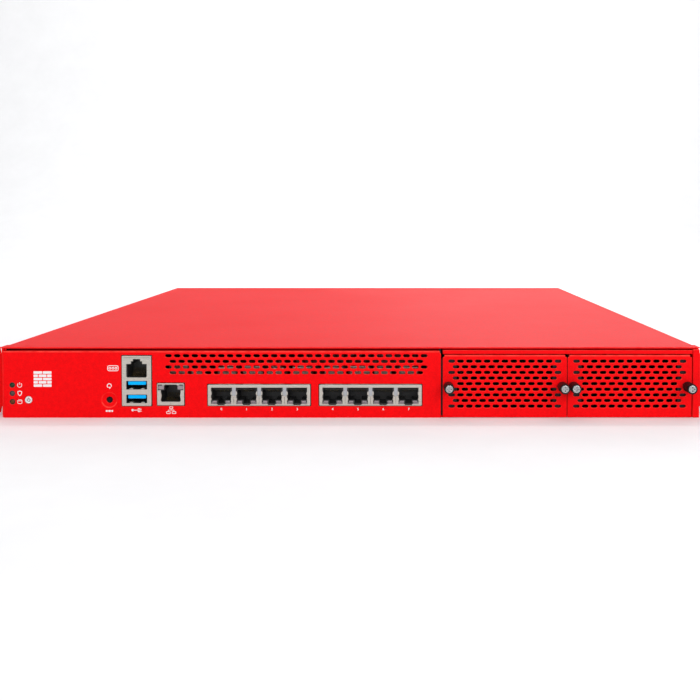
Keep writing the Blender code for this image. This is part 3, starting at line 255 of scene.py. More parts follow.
def board_traces():
    """Group: a mask of copper runs under a circuit board's mask."""
    tree, given, made = node_group(
        "board_traces",
        [("Coordinates", "NodeSocketVector", (0, 0, 0)), ("Scale", "NodeSocketFloat", 160.0)],
        [("Runs", "NodeSocketFloat"), ("Pads", "NodeSocketFloat")],
    )
    cells = tree.nodes.new("ShaderNodeTexVoronoi")
    cells.distance = "MANHATTAN"
    cells.feature = "F1"
    tree.links.new(given.outputs["Coordinates"], cells.inputs["Vector"])
    tree.links.new(given.outputs["Scale"], cells.inputs["Scale"])
    bands = maths(tree, "FRACT", maths(tree, "MULTIPLY", cells.outputs["Distance"], 6.0), 0.0)
    runs = maths(tree, "GREATER_THAN", bands, 0.62)
    pads = maths(tree, "LESS_THAN", cells.outputs["Distance"], 0.07)
    tree.links.new(runs, made.inputs["Runs"])
    tree.links.new(pads, made.inputs["Pads"])
    return tree


GROUPS = {"grain": surface_grain, "wear": edge_wear, "dust": settled_dust, "traces": board_traces}
BUILT = {}


def placed_group(tree, kind, **values):
    """A shared group in a material, fed with object coordinates and its own values."""
    if kind not in BUILT:
        BUILT[kind] = GROUPS[kind]()
    node = tree.nodes.new("ShaderNodeGroup")
    node.node_tree = BUILT[kind]
    for label, value in values.items():
        node.inputs[label.replace("_", " ")].default_value = value
    coordinates = tree.nodes.get("Coordinates") or tree.nodes.new("ShaderNodeTexCoord")
    coordinates.name = "Coordinates"
    tree.links.new(coordinates.outputs["Object"], node.inputs["Coordinates"])
    return node


def mixed(tree, mask, first, second):
    """A colour between two, each a plain colour or a socket."""
    node = tree.nodes.new("ShaderNodeMix")
    node.data_type = "RGBA"
    tree.links.new(mask, node.inputs["Factor"])
    for socket, value in ((node.inputs["A"], first), (node.inputs["B"], second)):
        if hasattr(value, "is_output"):
            tree.links.new(value, socket)
        else:
            socket.default_value = (*value, 1.0)
    return node.outputs["Result"]


def shade(base, factor):
    return tuple(min(1.0, part * factor) for part in base)


def spread(tree, value, low, high):
    """A grain value carried to a range."""
    node = tree.nodes.new("ShaderNodeMapRange")
    node.inputs["To Min"].default_value = low
    node.inputs["To Max"].default_value = high
    tree.links.new(value, node.inputs["Value"])
    return node.outputs["Result"]


EVEN = (1, 1, 1)
BRUSHED = (1, 0.06, 1)
WORN_FAN = (0.09, 0.09, 0.09)
DUST = (0.62, 0.58, 0.55)
PAD = (0.75, 0.72, 0.62)
# What a material has unless its own row says otherwise. Rough is the range of its roughness. Worn is the
# colour of its worn edges, and on the red paint of a painted highlight along bends and edges: a colour,
# the name of one, or a factor on its own.
PLAIN = {"metallic": 0.0, "stretch": EVEN, "depth": 0.00005, "wear": 0.0, "worn_and_highlight": 1.0, "dust": 0.0,
         "coat": 0.0,
         "specular": 0.5}
FINISHES = {
    # The red paint's edge colour is a painted highlight along its bends and edges, strongest where they
    # face up.
    "red_powder_coat": dict(tint="red", rough=(0.54, 0.66), grain=1300.0, tone=0.13, bump=0.40,
                            depth=0.00006,
                            wear=0.7, worn_and_highlight="red_light", dust=0.03, specular=0.05),
    "plated_sheet": dict(tint="zinc", rough=(0.26, 0.44), metallic=0.92, grain=420.0, stretch=BRUSHED,
                         tone=0.10,
                         bump=0.12, wear=0.4, worn_and_highlight=1.3),
    # Painted shade: a near-black sheet for the bays and the tray's inside, seen through the vent slots.
    "black_plated_sheet": dict(tint="dark_zinc", rough=(0.45, 0.6), metallic=0.15, grain=420.0,
                               stretch=BRUSHED,
                               tone=0.15, bump=0.12, specular=0.3),
    "satin_nickel": dict(tint="nickel", rough=(0.26, 0.40), metallic=0.9, grain=1800.0,
                         stretch=(0.08, 1, 1),
                         tone=0.07, bump=0.10, wear=0.5, worn_and_highlight=1.2),
    "turned_steel": dict(tint="steel", rough=(0.20, 0.34), metallic=0.95, grain=2400.0, tone=0.10,
                         bump=0.10,
                         wear=0.4, worn_and_highlight=1.25),
    "contact_gold": dict(tint="gold", rough=(0.20, 0.32), metallic=0.95, grain=2600.0, stretch=(1, 0.1, 1),
                         tone=0.08, bump=0.06),
    "moulded_black": dict(tint="black", rough=(0.38, 0.55), grain=2200.0, tone=0.25, bump=0.25, wear=0.3,
                          worn_and_highlight=(0.06, 0.06, 0.062)),
    "fan_black": dict(tint="fan", rough=(0.36, 0.52), grain=1800.0, tone=0.2, bump=0.2, wear=0.3,
                      worn_and_highlight=WORN_FAN),
    "knurled_black": dict(tint="knob", rough=(0.30, 0.46), grain=2600.0, tone=0.2, bump=0.3, wear=0.35,
                          worn_and_highlight=WORN_FAN, specular=0.1),
    "moulded_blue": dict(tint="blue", rough=(0.30, 0.44), grain=1900.0, tone=0.08, bump=0.12, wear=0.3,
                         worn_and_highlight=1.4,
                         specular=0.06),
    "light_pipe": dict(tint="clear", rough=(0.12, 0.30), grain=1400.0, tone=0.12, bump=0.10, coat=0.4),
    "white_ink": dict(tint="white", rough=(0.48, 0.62), grain=2600.0, tone=0.05, bump=0.20),
    "grey_ink": dict(tint="grey", rough=(0.45, 0.60), grain=2600.0, tone=0.08, bump=0.15),
    "moulded_white": dict(tint="white", rough=(0.26, 0.40), grain=2000.0, tone=0.05, bump=0.12, wear=0.3,
                          worn_and_highlight=(1.0, 1.0, 1.0)),
    "extruded_aluminium": dict(tint="aluminium", rough=(0.28, 0.44), metallic=0.92, grain=520.0,
                               stretch=(1, 0.04, 1), tone=0.10, bump=0.14, wear=0.4, worn_and_highlight=1.25),
    "moulded_green": dict(tint="release", rough=(0.34, 0.50), grain=2200.0, tone=0.10, bump=0.2, wear=0.35,
                          worn_and_highlight=1.8),
    "circuit_board": dict(tint="board", rough=(0.28, 0.46), grain=1200.0, tone=0.12, bump=0.10, dust=0.05),
    "backdrop_paint": dict(tint="floor", rough=(0.7, 0.8), grain=60.0, tone=0.01, bump=0.0, specular=0.2),
}
for lens in ("green_lens", "grey_lens", "amber_lens"):
    FINISHES[lens] = dict(tint=lens, rough=(0.22, 0.34), grain=1500.0, tone=0.18, bump=0.10, specular=0.25)


def finish(name):
    """A material with grain, blotches, edge wear (on the red paint a painted highlight instead), and dust,
    made once.
    """
    material = bpy.data.materials.get(name)
    if material:
        return material
    given = {**PLAIN, **FINISHES[name]}
    tints = colours()
    base, tone = tuple(getattr(tints, given["tint"])), given["tone"]
    material = bpy.data.materials.new(name)
    material.use_nodes = True
    tree = material.node_tree
    shader = tree.nodes["Principled BSDF"]
    shader.inputs["Metallic"].default_value = given["metallic"]
    shader.inputs["Coat Weight"].default_value = given["coat"]
    shader.inputs["Specular IOR Level"].default_value = given["specular"]
    material.diffuse_color = (*base, 1.0)
    grained = placed_group(tree, "grain", Scale=given["grain"], Stretch=given["stretch"])
    base_colour = mixed(tree, grained.outputs["Tone"], shade(base, 1.0 - tone), shade(base, 1.0 + tone))
    base_colour = mixed(tree, spread(tree, grained.outputs["Blotch"], 0.0, 0.35), base_colour,
                        shade(base, 0.82))
    # Edge colour along marked bends: wear, and on the red paint a painted highlight.
    if given["wear"]:
        worn_and_highlight = given["worn_and_highlight"]
        if isinstance(worn_and_highlight, str):
            worn_and_highlight = tuple(getattr(tints, worn_and_highlight))
        elif isinstance(worn_and_highlight, float):
            worn_and_highlight = shade(base, worn_and_highlight)
        mask = placed_group(tree, "wear", Amount=given["wear"]).outputs["Mask"]
        base_colour = mixed(tree, mask, base_colour, worn_and_highlight)
    if given["dust"]:
        mask = placed_group(tree, "dust", Amount=given["dust"]).outputs["Mask"]
        base_colour = mixed(tree, mask, base_colour, DUST)
    tree.links.new(base_colour, shader.inputs["Base Color"])
    blotched = maths(tree, "MULTIPLY", grained.outputs["Blotch"], grained.outputs["Tone"])
    tree.links.new(spread(tree, blotched, *given["rough"]), shader.inputs["Roughness"])
    relief = tree.nodes.new("ShaderNodeBump")
    relief.inputs["Strength"].default_value = given["bump"]
    relief.inputs["Distance"].default_value = given["depth"]
    tree.links.new(grained.outputs["Height"], relief.inputs["Height"])
    tree.links.new(relief.outputs["Normal"], shader.inputs["Normal"])
    if name == "circuit_board":
        traces = placed_group(tree, "traces", Scale=170.0)
        runs = maths(tree, "MULTIPLY", traces.outputs["Runs"], 0.8)
        base_colour = mixed(tree, runs, base_colour, tuple(tints.trace))
        tree.links.new(mixed(tree, traces.outputs["Pads"], base_colour, PAD), shader.inputs["Base Color"])
    return material


# ---------------------------------------------------------------- forms


def scaled(points):
    """Points given in millimetres."""
    return [tuple(part * MM for part in point) for point in points]


def about(centre, size):
    return centre - size / 2, centre + size / 2


def arc(centre, radius, start, end, steps):
    angles = [math.radians(start + (end - start) * step / steps) for step in range(steps + 1)]
    return [(centre[0] + radius * math.cos(angle), centre[1] + radius * math.sin(angle))
            for angle in angles]


def ring(across, up, radius, steps):
    return arc((across, up), radius, 0.0, 360.0 * (steps - 1) / steps, steps - 1)


def rounded(across, up, radius, steps=3):
    """A rectangle with round corners. A radius may be given for each corner from the lower left round."""
    radii = radius if isinstance(radius, tuple) else (radius,) * 4
    places = [(across[0], up[0], 180), (across[1], up[0], 270), (across[1], up[1], 0),
              (across[0], up[1], 90)]
    points = []
    for (x, y, start), size in zip(places, radii):
        if size <= 0.0:
            points.append((x, y))
            continue
        inward_x = size if x == across[0] else -size
        inward_y = size if y == up[0] else -size
        points += arc((x + inward_x, y + inward_y), size, start, start + 90, steps)
    return points


def obround(across, up, length, height, steps=4):
    """A slot with round ends, along its longer side."""
    radius = min(length, height) / 2
    reach = abs(length - height) / 2
    if length >= height:
        right = arc((across + reach, up), radius, -90, 90, steps)
        left = arc((across - reach, up), radius, 90, 270, steps)
        return right + left
    top = arc((across, up + reach), radius, 0, 180, steps)
    bottom = arc((across, up - reach), radius, 180, 360, steps)
    return top + bottom


def spoke(turn):
    """The direction at an angle in degrees round a front-to-back axis."""
    return Vector((math.cos(math.radians(turn)), 0.0, math.sin(math.radians(turn))))


def add_box(form, low, high, edge=0.0, segments=2):
    """A box with rounded edges. Returns its points."""
    before = set(form.verts)
    size = [top - bottom for bottom, top in zip(low, high)]
    middle = (Vector(low) + Vector(high)) / 2
    bmesh.ops.create_cube(form, size=1.0, matrix=Matrix.Translation(middle) @ Matrix.Diagonal((*size, 1.0)))
    if edge:
        made = [vert for vert in form.verts if vert not in before]
        sides = list({side for vert in made for side in vert.link_edges})
        bmesh.ops.bevel(form, geom=sides, offset=edge, offset_type="OFFSET", affect="EDGES",
                        segments=segments,
                        profile=0.5, material=-1)
    return [vert for vert in form.verts if vert not in before]


def add_block(form, origin, across, along, up, edge, segments=2):
    """A box with rounded edges, its ends along X, Y and Z given in millimetres from an origin."""
    corners = [[start + part * MM for start, part in zip(origin, corner)]
               for corner in zip(across, along, up)]
    add_box(form, *corners, edge * MM, segments)


def add_plate(form, outline, holes, facing, low, thickness, edge=None):
    """A flat plate with holes and rounded edges, from low along the axis it faces. Returns its points."""
    if edge is None:
        edge = sizes().hole_edge
    curve = bpy.data.curves.new("outline", "CURVE")
    curve.dimensions = "2D"
    curve.fill_mode = "BOTH"
    curve.extrude = thickness / 2 - edge
    curve.bevel_depth = edge
    curve.bevel_resolution = 1 if edge else 0
    curve.offset = -edge
    for loop in (outline, *holes):
        line = curve.splines.new("POLY")
        line.points.add(len(loop) - 1)
        for corner, (across, up) in zip(line.points, loop):
            corner.co = (across, up, 0.0, 1.0)
        line.use_cyclic_u = True
    guide = bpy.data.objects.new("outline", curve)
    bpy.context.scene.collection.objects.link(guide)
    graph = bpy.context.evaluated_depsgraph_get()
    mesh = bpy.data.meshes.new_from_object(guide.evaluated_get(graph))
    bpy.data.objects.remove(guide)
    bpy.data.curves.remove(curve)
    mesh.transform(Matrix.Translation(AXES[facing] * (low + thickness / 2)) @ FACINGS[facing])
    before = set(form.verts)
    form.from_mesh(mesh)
    bpy.data.meshes.remove(mesh)
    made = [vert for vert in form.verts if vert not in before]
    bmesh.ops.remove_doubles(form, verts=made, dist=0.0000005)
    return [vert for vert in form.verts if vert not in before]


def add_turned(form, profile, place, facing="Y", steps=28):
    """A turned form. Its profile is (radius, distance along the axis), closed at the axis or as a ring."""
    axis = AXES[facing]
    side = AXES["X"] if facing != "X" else AXES["Y"]
    place = Vector(place)
    before = set(form.verts)
    line = [form.verts.new(place + side * radius + axis * along) for radius, along in profile]
    sides = [form.edges.new(pair) for pair in zip(line, line[1:])]
    if profile[0][0] > 0.0 and profile[-1][0] > 0.0:
        sides.append(form.edges.new((line[-1], line[0])))
    bmesh.ops.spin(form, geom=line + sides, cent=place, axis=axis, dvec=(0, 0, 0), angle=2 * math.pi,
                   steps=steps, use_merge=True, use_duplicate=False)
    made = [vert for vert in form.verts if vert not in before]
    bmesh.ops.remove_doubles(form, verts=made, dist=0.0000005)
    return [vert for vert in form.verts if vert not in before]


def add_rod(form, start, end, radius, sides):
    """A round bar between two points."""
    start, end = Vector(start), Vector(end)
    run = end - start
    turn = run.to_track_quat("Z", "Y").to_matrix().to_4x4()
    bmesh.ops.create_cone(form, cap_ends=True, cap_tris=False, segments=sides, radius1=radius,
                          radius2=radius,
                          depth=run.length, matrix=Matrix.Translation((start + end) / 2) @ turn)


def add_hoop(form, centre, radius, wire, steps, sides):
    """A ring of round wire that faces front to back."""
    profile = [(radius + across, along) for across, along in ring(0.0, 0.0, wire, sides)]
    add_turned(form, profile, centre, steps=steps)


def add_tube(form, path, radius, sides):
    """A round bar bent along a path of points."""
    curve = bpy.data.curves.new("bar", "CURVE")
    curve.dimensions = "3D"
    curve.bevel_depth = radius
    curve.bevel_resolution = sides // 4
    curve.use_fill_caps = True
    line = curve.splines.new("POLY")
    line.points.add(len(path) - 1)
    for point, place in zip(line.points, path):
        point.co = (*place, 1.0)
    guide = bpy.data.objects.new("bar", curve)
    bpy.context.scene.collection.objects.link(guide)
    graph = bpy.context.evaluated_depsgraph_get()
    mesh = bpy.data.meshes.new_from_object(guide.evaluated_get(graph))
    bpy.data.objects.remove(guide)
    bpy.data.curves.remove(curve)
    form.from_mesh(mesh)
    bpy.data.meshes.remove(mesh)


def open_box(form, low, high, wall, side, sign, edge=0.0):
    """A box with one side left open and walls of a thickness. The open side is given by axis and sign."""
    before = set(form.faces)
    made = add_box(form, low, high, edge)
    faces = [face for face in form.faces if face not in before]
    index = "XYZ".index(side)
    rim = high[index] if sign > 0 else low[index]
    gone = [face for face in faces if abs(face.calc_center_median()[index] - rim) < 0.0000005]
    kept = [face for face in faces if face not in gone]
    bmesh.ops.delete(form, geom=gone, context="FACES")
    bmesh.ops.recalc_face_normals(form, faces=kept)
    turned_out = kept[0].normal.dot(kept[0].calc_center_median() - (Vector(low) + Vector(high)) / 2)
    if turned_out < 0.0:
        bmesh.ops.reverse_faces(form, faces=kept)
    bmesh.ops.solidify(form, geom=kept, thickness=wall)
    return made


def fold(form, pivot, outward, axis, angle, run, steps=5):
    """Trims a sheet at a plane through the pivot, and carries its cut end round a bend and on along run."""
    everything = form.verts[:] + form.edges[:] + form.faces[:]
    trimmed = bmesh.ops.bisect_plane(form, geom=everything, dist=0.0000001, plane_co=pivot,
                                     plane_no=outward,
                                     clear_outer=True)
    sides = [part for part in trimmed["geom_cut"] if isinstance(part, bmesh.types.BMEdge)]
    ends = list({vert for side in sides for vert in side.verts})
    bent = bmesh.ops.spin(form, geom=ends + sides, cent=pivot, axis=axis, dvec=(0, 0, 0),
                          angle=math.radians(angle), steps=steps, use_merge=False, use_duplicate=False)
    last = [part for part in bent["geom_last"] if isinstance(part, bmesh.types.BMEdge)]
    if Vector(run).length:
        drawn = bmesh.ops.extrude_edge_only(form, edges=last)["geom"]
        moved = [part for part in drawn if isinstance(part, bmesh.types.BMVert)]
        bmesh.ops.translate(form, vec=run, verts=moved)
        last = [part
                for part in drawn if isinstance(part, bmesh.types.BMEdge) and set(part.verts) <= set(moved)]
    bmesh.ops.holes_fill(form, edges=last, sides=0)


def mark_edges(form):
    """Marks bends and rounded edges, whose faces lie across the axes, for wear and a painted highlight:
    most where they face up, where the light falls.
    """
    layer = form.faces.layers.float.new("edge")
    for face in form.faces:
        straight = max(abs(part) for part in face.normal)
        face[layer] = 0.0 if straight > 0.94 else 1.0 if face.normal.z > 0.1 else 0.3


def made_piece(name, form, material, body, replaces=(), angle=34.0, marked=True):
    """Turns a form into a finished piece that rides on a body."""
    bmesh.ops.recalc_face_normals(form, faces=form.faces)
    if marked:
        mark_edges(form)
    mesh = bpy.data.meshes.new(name)
    form.to_mesh(mesh)
    form.free()
    mesh.shade_smooth()
    mesh.set_sharp_from_angle(angle=math.radians(angle))
    mesh.materials.append(finish(material))
    thing = bpy.data.objects.new(name, mesh)
    bpy.context.scene.collection.objects.link(thing)
    if marked:
        thing.modifiers.new("even_shading", "WEIGHTED_NORMAL").keep_sharp = True
    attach(thing, body)
    if replaces:
        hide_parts(*replaces)
    return thing


def span(node):
    """A node's box as (low, high) along X, Y and Z."""
    low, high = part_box(node)
    return [(low[axis], high[axis]) for axis in range(3)]


def middle(node):
    low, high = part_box(node)
    return (low + high) / 2


def grown(pair, by):
    return pair[0] - by, pair[1] + by


def slot_field(left, right, top, pitch, rows, drop=None):
    """Round-ended vent slots in staggered rows, as many as fit between two sides."""
    most = int((right - left) / pitch + 0.0001) + 1
    centre = (left + right) / 2
    given = sizes()
    loops = []
    for row in range(rows):
        count = most - row % 2
        up = top - row * given.row_pitch
        for index in range(count):
            across = centre + (index - (count - 1) / 2) * pitch
            if drop is None or not drop(across, up):
                loops.append(obround(across, up, given.slot_length, given.slot_height))
    return loops


def cross_points(across, up, reach, arm):
    """The outline of a cross recess."""
    quarter = [(reach, -arm), (reach, arm), (arm, arm)]
    points = []
    for turn in range(4):
        c, s = ((1, 0), (0, 1), (-1, 0), (0, -1))[turn]
        points += [(across + x * c - y * s, up + x * s + y * c) for x, y in quarter]
    return points


def add_screw_head(form, place, facing, sign, radius, rise):
    """A screw head with a cross recess. Place is on the surface it is screwed to."""
    index = "XYZ".index(facing)
    flat = [part for axis, part in enumerate(place) if axis != index]
    skin = rise * 0.45
    base = place[index] if sign > 0 else place[index] - rise
    low = base + rise - skin if sign > 0 else base
    foot = base if sign > 0 else base + skin
    cross = cross_points(flat[0], flat[1], radius * 0.62, radius * 0.15)
    add_plate(form, ring(flat[0], flat[1], radius, 20), [cross], facing, low, skin,
              min(skin, radius) * 0.25)
    add_plate(form, ring(flat[0], flat[1], radius * 0.98, 20), [], facing, foot, rise - skin, 0.0)


# ---------------------------------------------------------------- case


def build_cover():
    """Lid with two long bends, and the wider lip across its front."""
    across, along, up = span("top_cover")
    lip_depth = 10.5 * MM
    side = across[1] - 0.8 * MM
    bend = sizes().cover_bend
    sheet = 1.0 * MM
    form = bmesh.new()
    outline = [(-side - 2 * bend, along[0] + 0.6 * MM), (side + 2 * bend, along[0] + 0.6 * MM),
               (side + 2 * bend, along[1]), (-side - 2 * bend, along[1])]
    add_plate(form, outline, [], "Z", up[1] - sheet, sheet, 0.12 * MM)
    drop = up[1] - bend - up[0]
    for sign in (-1, 1):
        cut = (sign * (side - bend), 0, up[1] - bend)
        fold(form, cut, (sign, 0, 0), (0, 1, 0), sign * 90, (0, 0, -drop))
    made_piece("cover_shell", form, "red_powder_coat", "chassis", ["top_cover"])
    lip = bmesh.new()
    add_box(lip, (across[0], along[0], up[1] - 0.76 * MM),
            (across[1], along[0] + lip_depth, up[1] + 0.03 * MM),
            0.33 * MM, 3)
    made_piece("cover_lip", lip, "red_powder_coat", "chassis")
    screws = bmesh.new()
    for sign in (-1, 1):
        for place in (-120, -20, 90, 200):
            add_screw_head(screws, (sign * (side - 0.1 * MM), place * MM, 36 * MM), "X", sign, 2.6 * MM,
                           0.7 * MM)
    made_piece("cover_screws", screws, "turned_steel", "chassis", marked=False)


def build_tray():
    """Floor and side walls folded from one sheet, the front posts and the board's standoffs."""
    across, along, up = span("chassis_base")
    panel = span("front_panel")
    wall = across[1] - 2.1 * MM
    sheet = 1.2 * MM
    bend = 1.6 * MM
    front = panel[1][1] + 0.3 * MM
    form = bmesh.new()
    ends = (front, along[1])
    outline = rounded((-wall - 2 * bend, wall + 2 * bend), ends, 0.0)
    holes = [ring(x * MM, y * MM, 2.0 * MM, 16) for x, y in UNDERSIDE_SCREWS]
    add_plate(form, outline, holes, "Z", 0.0, sheet, 0.12 * MM)
    rise = up[1] - bend
    for sign in (-1, 1):
        cut = (sign * (wall - bend), 0, bend)
        fold(form, cut, (sign, 0, 0), (0, 1, 0), -sign * 90, (0, 0, rise))
    tray = made_piece("tray_shell", form, "red_powder_coat", "chassis", ["chassis_base"])
    # The tray's inner floor and walls take the near-black sheet: painted shade seen through the vent slots.
    tray.data.materials.append(finish("black_plated_sheet"))
    for face in tray.data.polygons:
        inward = face.normal.z > 0.5 and face.center.z < 2 * sheet
        for sign in (-1, 1):
            inward = inward or (face.normal.x * sign < -0.5 and face.center.x * sign > wall - 2 * sheet)
        face.material_index = 1 if inward and face.center.z < up[1] - 0.5 * MM else 0
    posts = bmesh.new()
    post_width = 4.3 * MM
    add_box(posts, (across[1] - post_width, along[0], 0.0), (across[1], along[0] + 10 * MM, up[1]),
            0.7 * MM, 4)
    made_piece("front_post", posts, "red_powder_coat", "chassis")
    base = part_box("main_board")[0].z - 0.3 * MM
    parts = bmesh.new()
    for x, y in STANDOFFS:
        add_plate(parts, ring(x * MM, y * MM, 2.5 * MM, 6), [], "Z", sheet + 0.02 * MM,
                  base - sheet - 0.04 * MM, 0.1 * MM)
    for x, y in UNDERSIDE_SCREWS:
        add_screw_head(parts, (x * MM, y * MM, 0.9 * MM), "Z", -1, 1.85 * MM, 0.8 * MM)
    made_piece("tray_fasteners", parts, "turned_steel", "chassis", marked=False)


# In millimetres from the part's origin
STANDOFFS = ((-204.7, -102), (-204.7, 15), (-92, 184.5), (46, 184.5), (46, -102))
UNDERSIDE_SCREWS = STANDOFFS + ((-150, 210), (150, 210), (190, -60), (105, -150), (150, 60))


def build_front_panel():
    """The ported front panel: vents, windows, a pressed dish, and bends along its top and left edges."""
    given = sizes()
    across, along, up = span("front_panel")
    sheet = along[1] - along[0]
    console = span("console_usb_shell")
    spread_by = 3 * given.side_bend
    corner = up[1] - 0.6 * MM - given.top_bend
    right = across[1] - 0.1 * MM
    outline = [
        (across[0] - spread_by, up[0] + 0.05 * MM),
        (right, up[0] + 0.05 * MM),
        (right, corner - 0.9 * MM),
        (right - 0.35 * MM, corner - 0.25 * MM),
        (right - 0.8 * MM, corner),
        (right - 0.8 * MM, up[1] + spread_by),
        (across[0] - spread_by, up[1] + spread_by),
    ]
    holes = slot_field(console[0][1] + 10.4 * MM, across[1] - 10.4 * MM, up[1] - 3.6 * MM,
                       given.panel_pitch, 4)
    for shell in ("console_usb_shell", "management_jack_shell", "port_bank_a_shell", "port_bank_b_shell"):
        box = span(shell)
        holes.append(rounded(grown(box[0], 0.5 * MM), grown(box[2], 0.5 * MM), 0.5 * MM))
    for light in ("power", "arm", "storage"):
        centre = middle("status_light_" + light)
        holes.append(ring(centre.x, centre.z, 1.75 * MM, 20))
    power, reset = middle("power_button"), middle("reset_button")
    holes.append(ring(power.x, power.z, 2.5 * MM, 28))
    holes.append(ring(reset.x, reset.z, given.dish_radius - 0.15 * MM, 36))
    form = bmesh.new()
    add_plate(form, outline, holes, "Y", along[0], sheet)
    pivot = (0, along[0] + given.top_bend, corner)
    fold(form, pivot, (0, 0, 1), (1, 0, 0), -90, (0, 9 * MM, 0))
    pivot = (across[0] + given.side_bend, along[0] + given.side_bend, 0)
    fold(form, pivot, (-1, 0, 0), (0, 0, 1), -90, (0, 6 * MM, 0), 8)
    dish = given.dish_radius
    profile = scaled([(2.05, 1.5), (2.05, 0.75), (2.2, 0.62), (3.4, 0.55), (4.4, 0.36)])
    profile += [(dish - 0.5 * MM, 0.08 * MM), (dish, -0.012 * MM), (dish, 1.5 * MM)]
    add_turned(form, profile, (reset.x, along[0], reset.z), steps=40)
    made_piece("front_panel_sheet", form, "red_powder_coat", "chassis", ["front_panel"])


def build_bay_rail():
    """Angle across the top of the module bays, with rounded edges."""
    across, along, up = span("bay_rail")
    form = bmesh.new()
    add_box(form, (across[0] + 0.1 * MM, along[0], up[0]),
            (across[1], along[0] + 1.6 * MM, up[1] - 0.6 * MM), 0.4 * MM, 3)
    add_box(form, (across[0] + 0.1 * MM, along[0] + 0.9 * MM, up[1] - 1.8 * MM),
            (across[1], along[1], up[1] - 0.65 * MM),
            0.1 * MM)
    made_piece("bay_rail_angle", form, "red_powder_coat", "chassis", ["bay_rail"])


def build_filler_panels():
    """Vented filler panels with rolled top edges, cut corners and a flange behind."""
    given = sizes()
    for number in (1, 2):
        across, along, up = span(f"filler_panel_{number}")
        bend = given.top_bend
        corner = up[1] - bend
        sheet = 1.2 * MM
        screws = [middle(f"thumb_screw_{2 * number - 1 + index}") for index in (0, 1)]
        left, right = across[0] + 0.1 * MM, across[1] - 0.1 * MM
        outline = [(left, up[0]), (right, up[0]), (right, corner - 0.9 * MM),
                   (right - 0.3 * MM, corner - 0.3 * MM)]
        outline += [(right - 1.1 * MM, corner), (right - 1.1 * MM, up[1] + 2 * bend)]
        outline += [(left + 1.1 * MM, up[1] + 2 * bend), (left + 1.1 * MM, corner)]
        outline += [(left + 0.3 * MM, corner - 0.3 * MM), (left, corner - 0.9 * MM)]

        def beside_screw(x, z):
            near = min(abs(x - screw.x) for screw in screws) < given.slot_length / 2 + 3.2 * MM
            return near and abs(z - screws[0].z) < 1.8 * MM

        margin = 5.6 * MM
        holes = slot_field(across[0] + margin, across[1] - margin, up[1] - 3.9 * MM, given.filler_pitch, 9,
                           beside_screw)
        holes += [ring(screw.x, screw.z, 1.8 * MM, 20) for screw in screws]
        form = bmesh.new()
        add_plate(form, outline, holes, "Y", along[0], sheet)
        pivot = (0, along[0] + bend, corner)
        fold(form, pivot, (0, 0, 1), (1, 0, 0), -90, (0, along[1] - along[0] - bend, 0))
        made_piece(f"filler_sheet_{number}", form, "red_powder_coat", f"filler_{number}",
                   [f"filler_panel_{number}"])


def build_thumb_screws():
    """Steel screws with cross heads, each in a knurled knob."""
    given = sizes()
    for number in (1, 2, 3, 4):
        body = f"thumb_{number}"
        knob_span, screw_span = span(f"thumb_knob_{number}"), span(f"thumb_screw_{number}")
        centre = middle(f"thumb_knob_{number}")
        radius = (knob_span[0][1] - knob_span[0][0]) / 2
        front, back = knob_span[1]
        form = bmesh.new()
        teeth = 2 * given.knurls
        profile = [
            (2.45 * MM, front + 0.5 * MM), (2.5 * MM, front + 0.05 * MM), (2.6 * MM, front),
            (radius - 0.1 * MM, front), (radius, front + 0.25 * MM), (radius, front + 3.4 * MM),
            (radius, back - 2.6 * MM), (radius, back - 1.4 * MM), (radius - 0.45 * MM, back - 1.2 * MM),
            (radius - 0.45 * MM, back), (1.85 * MM, back), (1.85 * MM, back - 2.0 * MM),
            (2.45 * MM, back - 2.2 * MM),
        ]
        made = add_turned(form, profile, (centre.x, 0.0, centre.z), steps=teeth)
        for vert in made:
            out = Vector((vert.co.x - centre.x, 0.0, vert.co.z - centre.z))
            turn = round(math.atan2(out.z, out.x) / (2 * math.pi) * teeth)
            if out.length > radius - 0.2 * MM and vert.co.y < back - 1.3 * MM and turn % 2:
                vert.co -= out.normalized() * 0.22 * MM
        made_piece(f"knurled_knob_{number}", form, "knurled_black", body,
                   [f"thumb_knob_{number}"], 20.0,
                   marked=False)
        head = 2.35 * MM
        start = screw_span[1][0]
        form = bmesh.new()
        cross = cross_points(centre.x, centre.z, 1.6 * MM, 0.36 * MM)
        add_plate(form, ring(centre.x, centre.z, head, 32), [cross], "Y", start, 1.1 * MM, 0.18 * MM)
        shank = [(0.0, 1.11), (2.3, 1.11), (2.3, 8.0), (1.5, 8.1), (1.5, 18.5), (1.0, 19.05), (0.0, 19.05)]
        add_turned(form, scaled(shank), (centre.x, start, centre.z), steps=32)
        for turn in range(12):
            add_hoop(form, (centre.x, start + (12.2 + turn * 0.5) * MM, centre.z), 1.5 * MM, 0.14 * MM,
                     steps=16, sides=4)
        made_piece(f"cross_screw_{number}", form, "turned_steel", body,
                   [f"thumb_screw_{number}"], 30.0,
                   marked=False)


# The rack's mounting holes, from the centre line and from the unit's own centre
RACK_HOLE_ACROSS = 232.55 * MM
RACK_HOLE_RISE = 15.875 * MM
EAR_SCREWS = ((-208, 14), (-208, 30), (-182, 14), (-182, 30), (-160, 22))


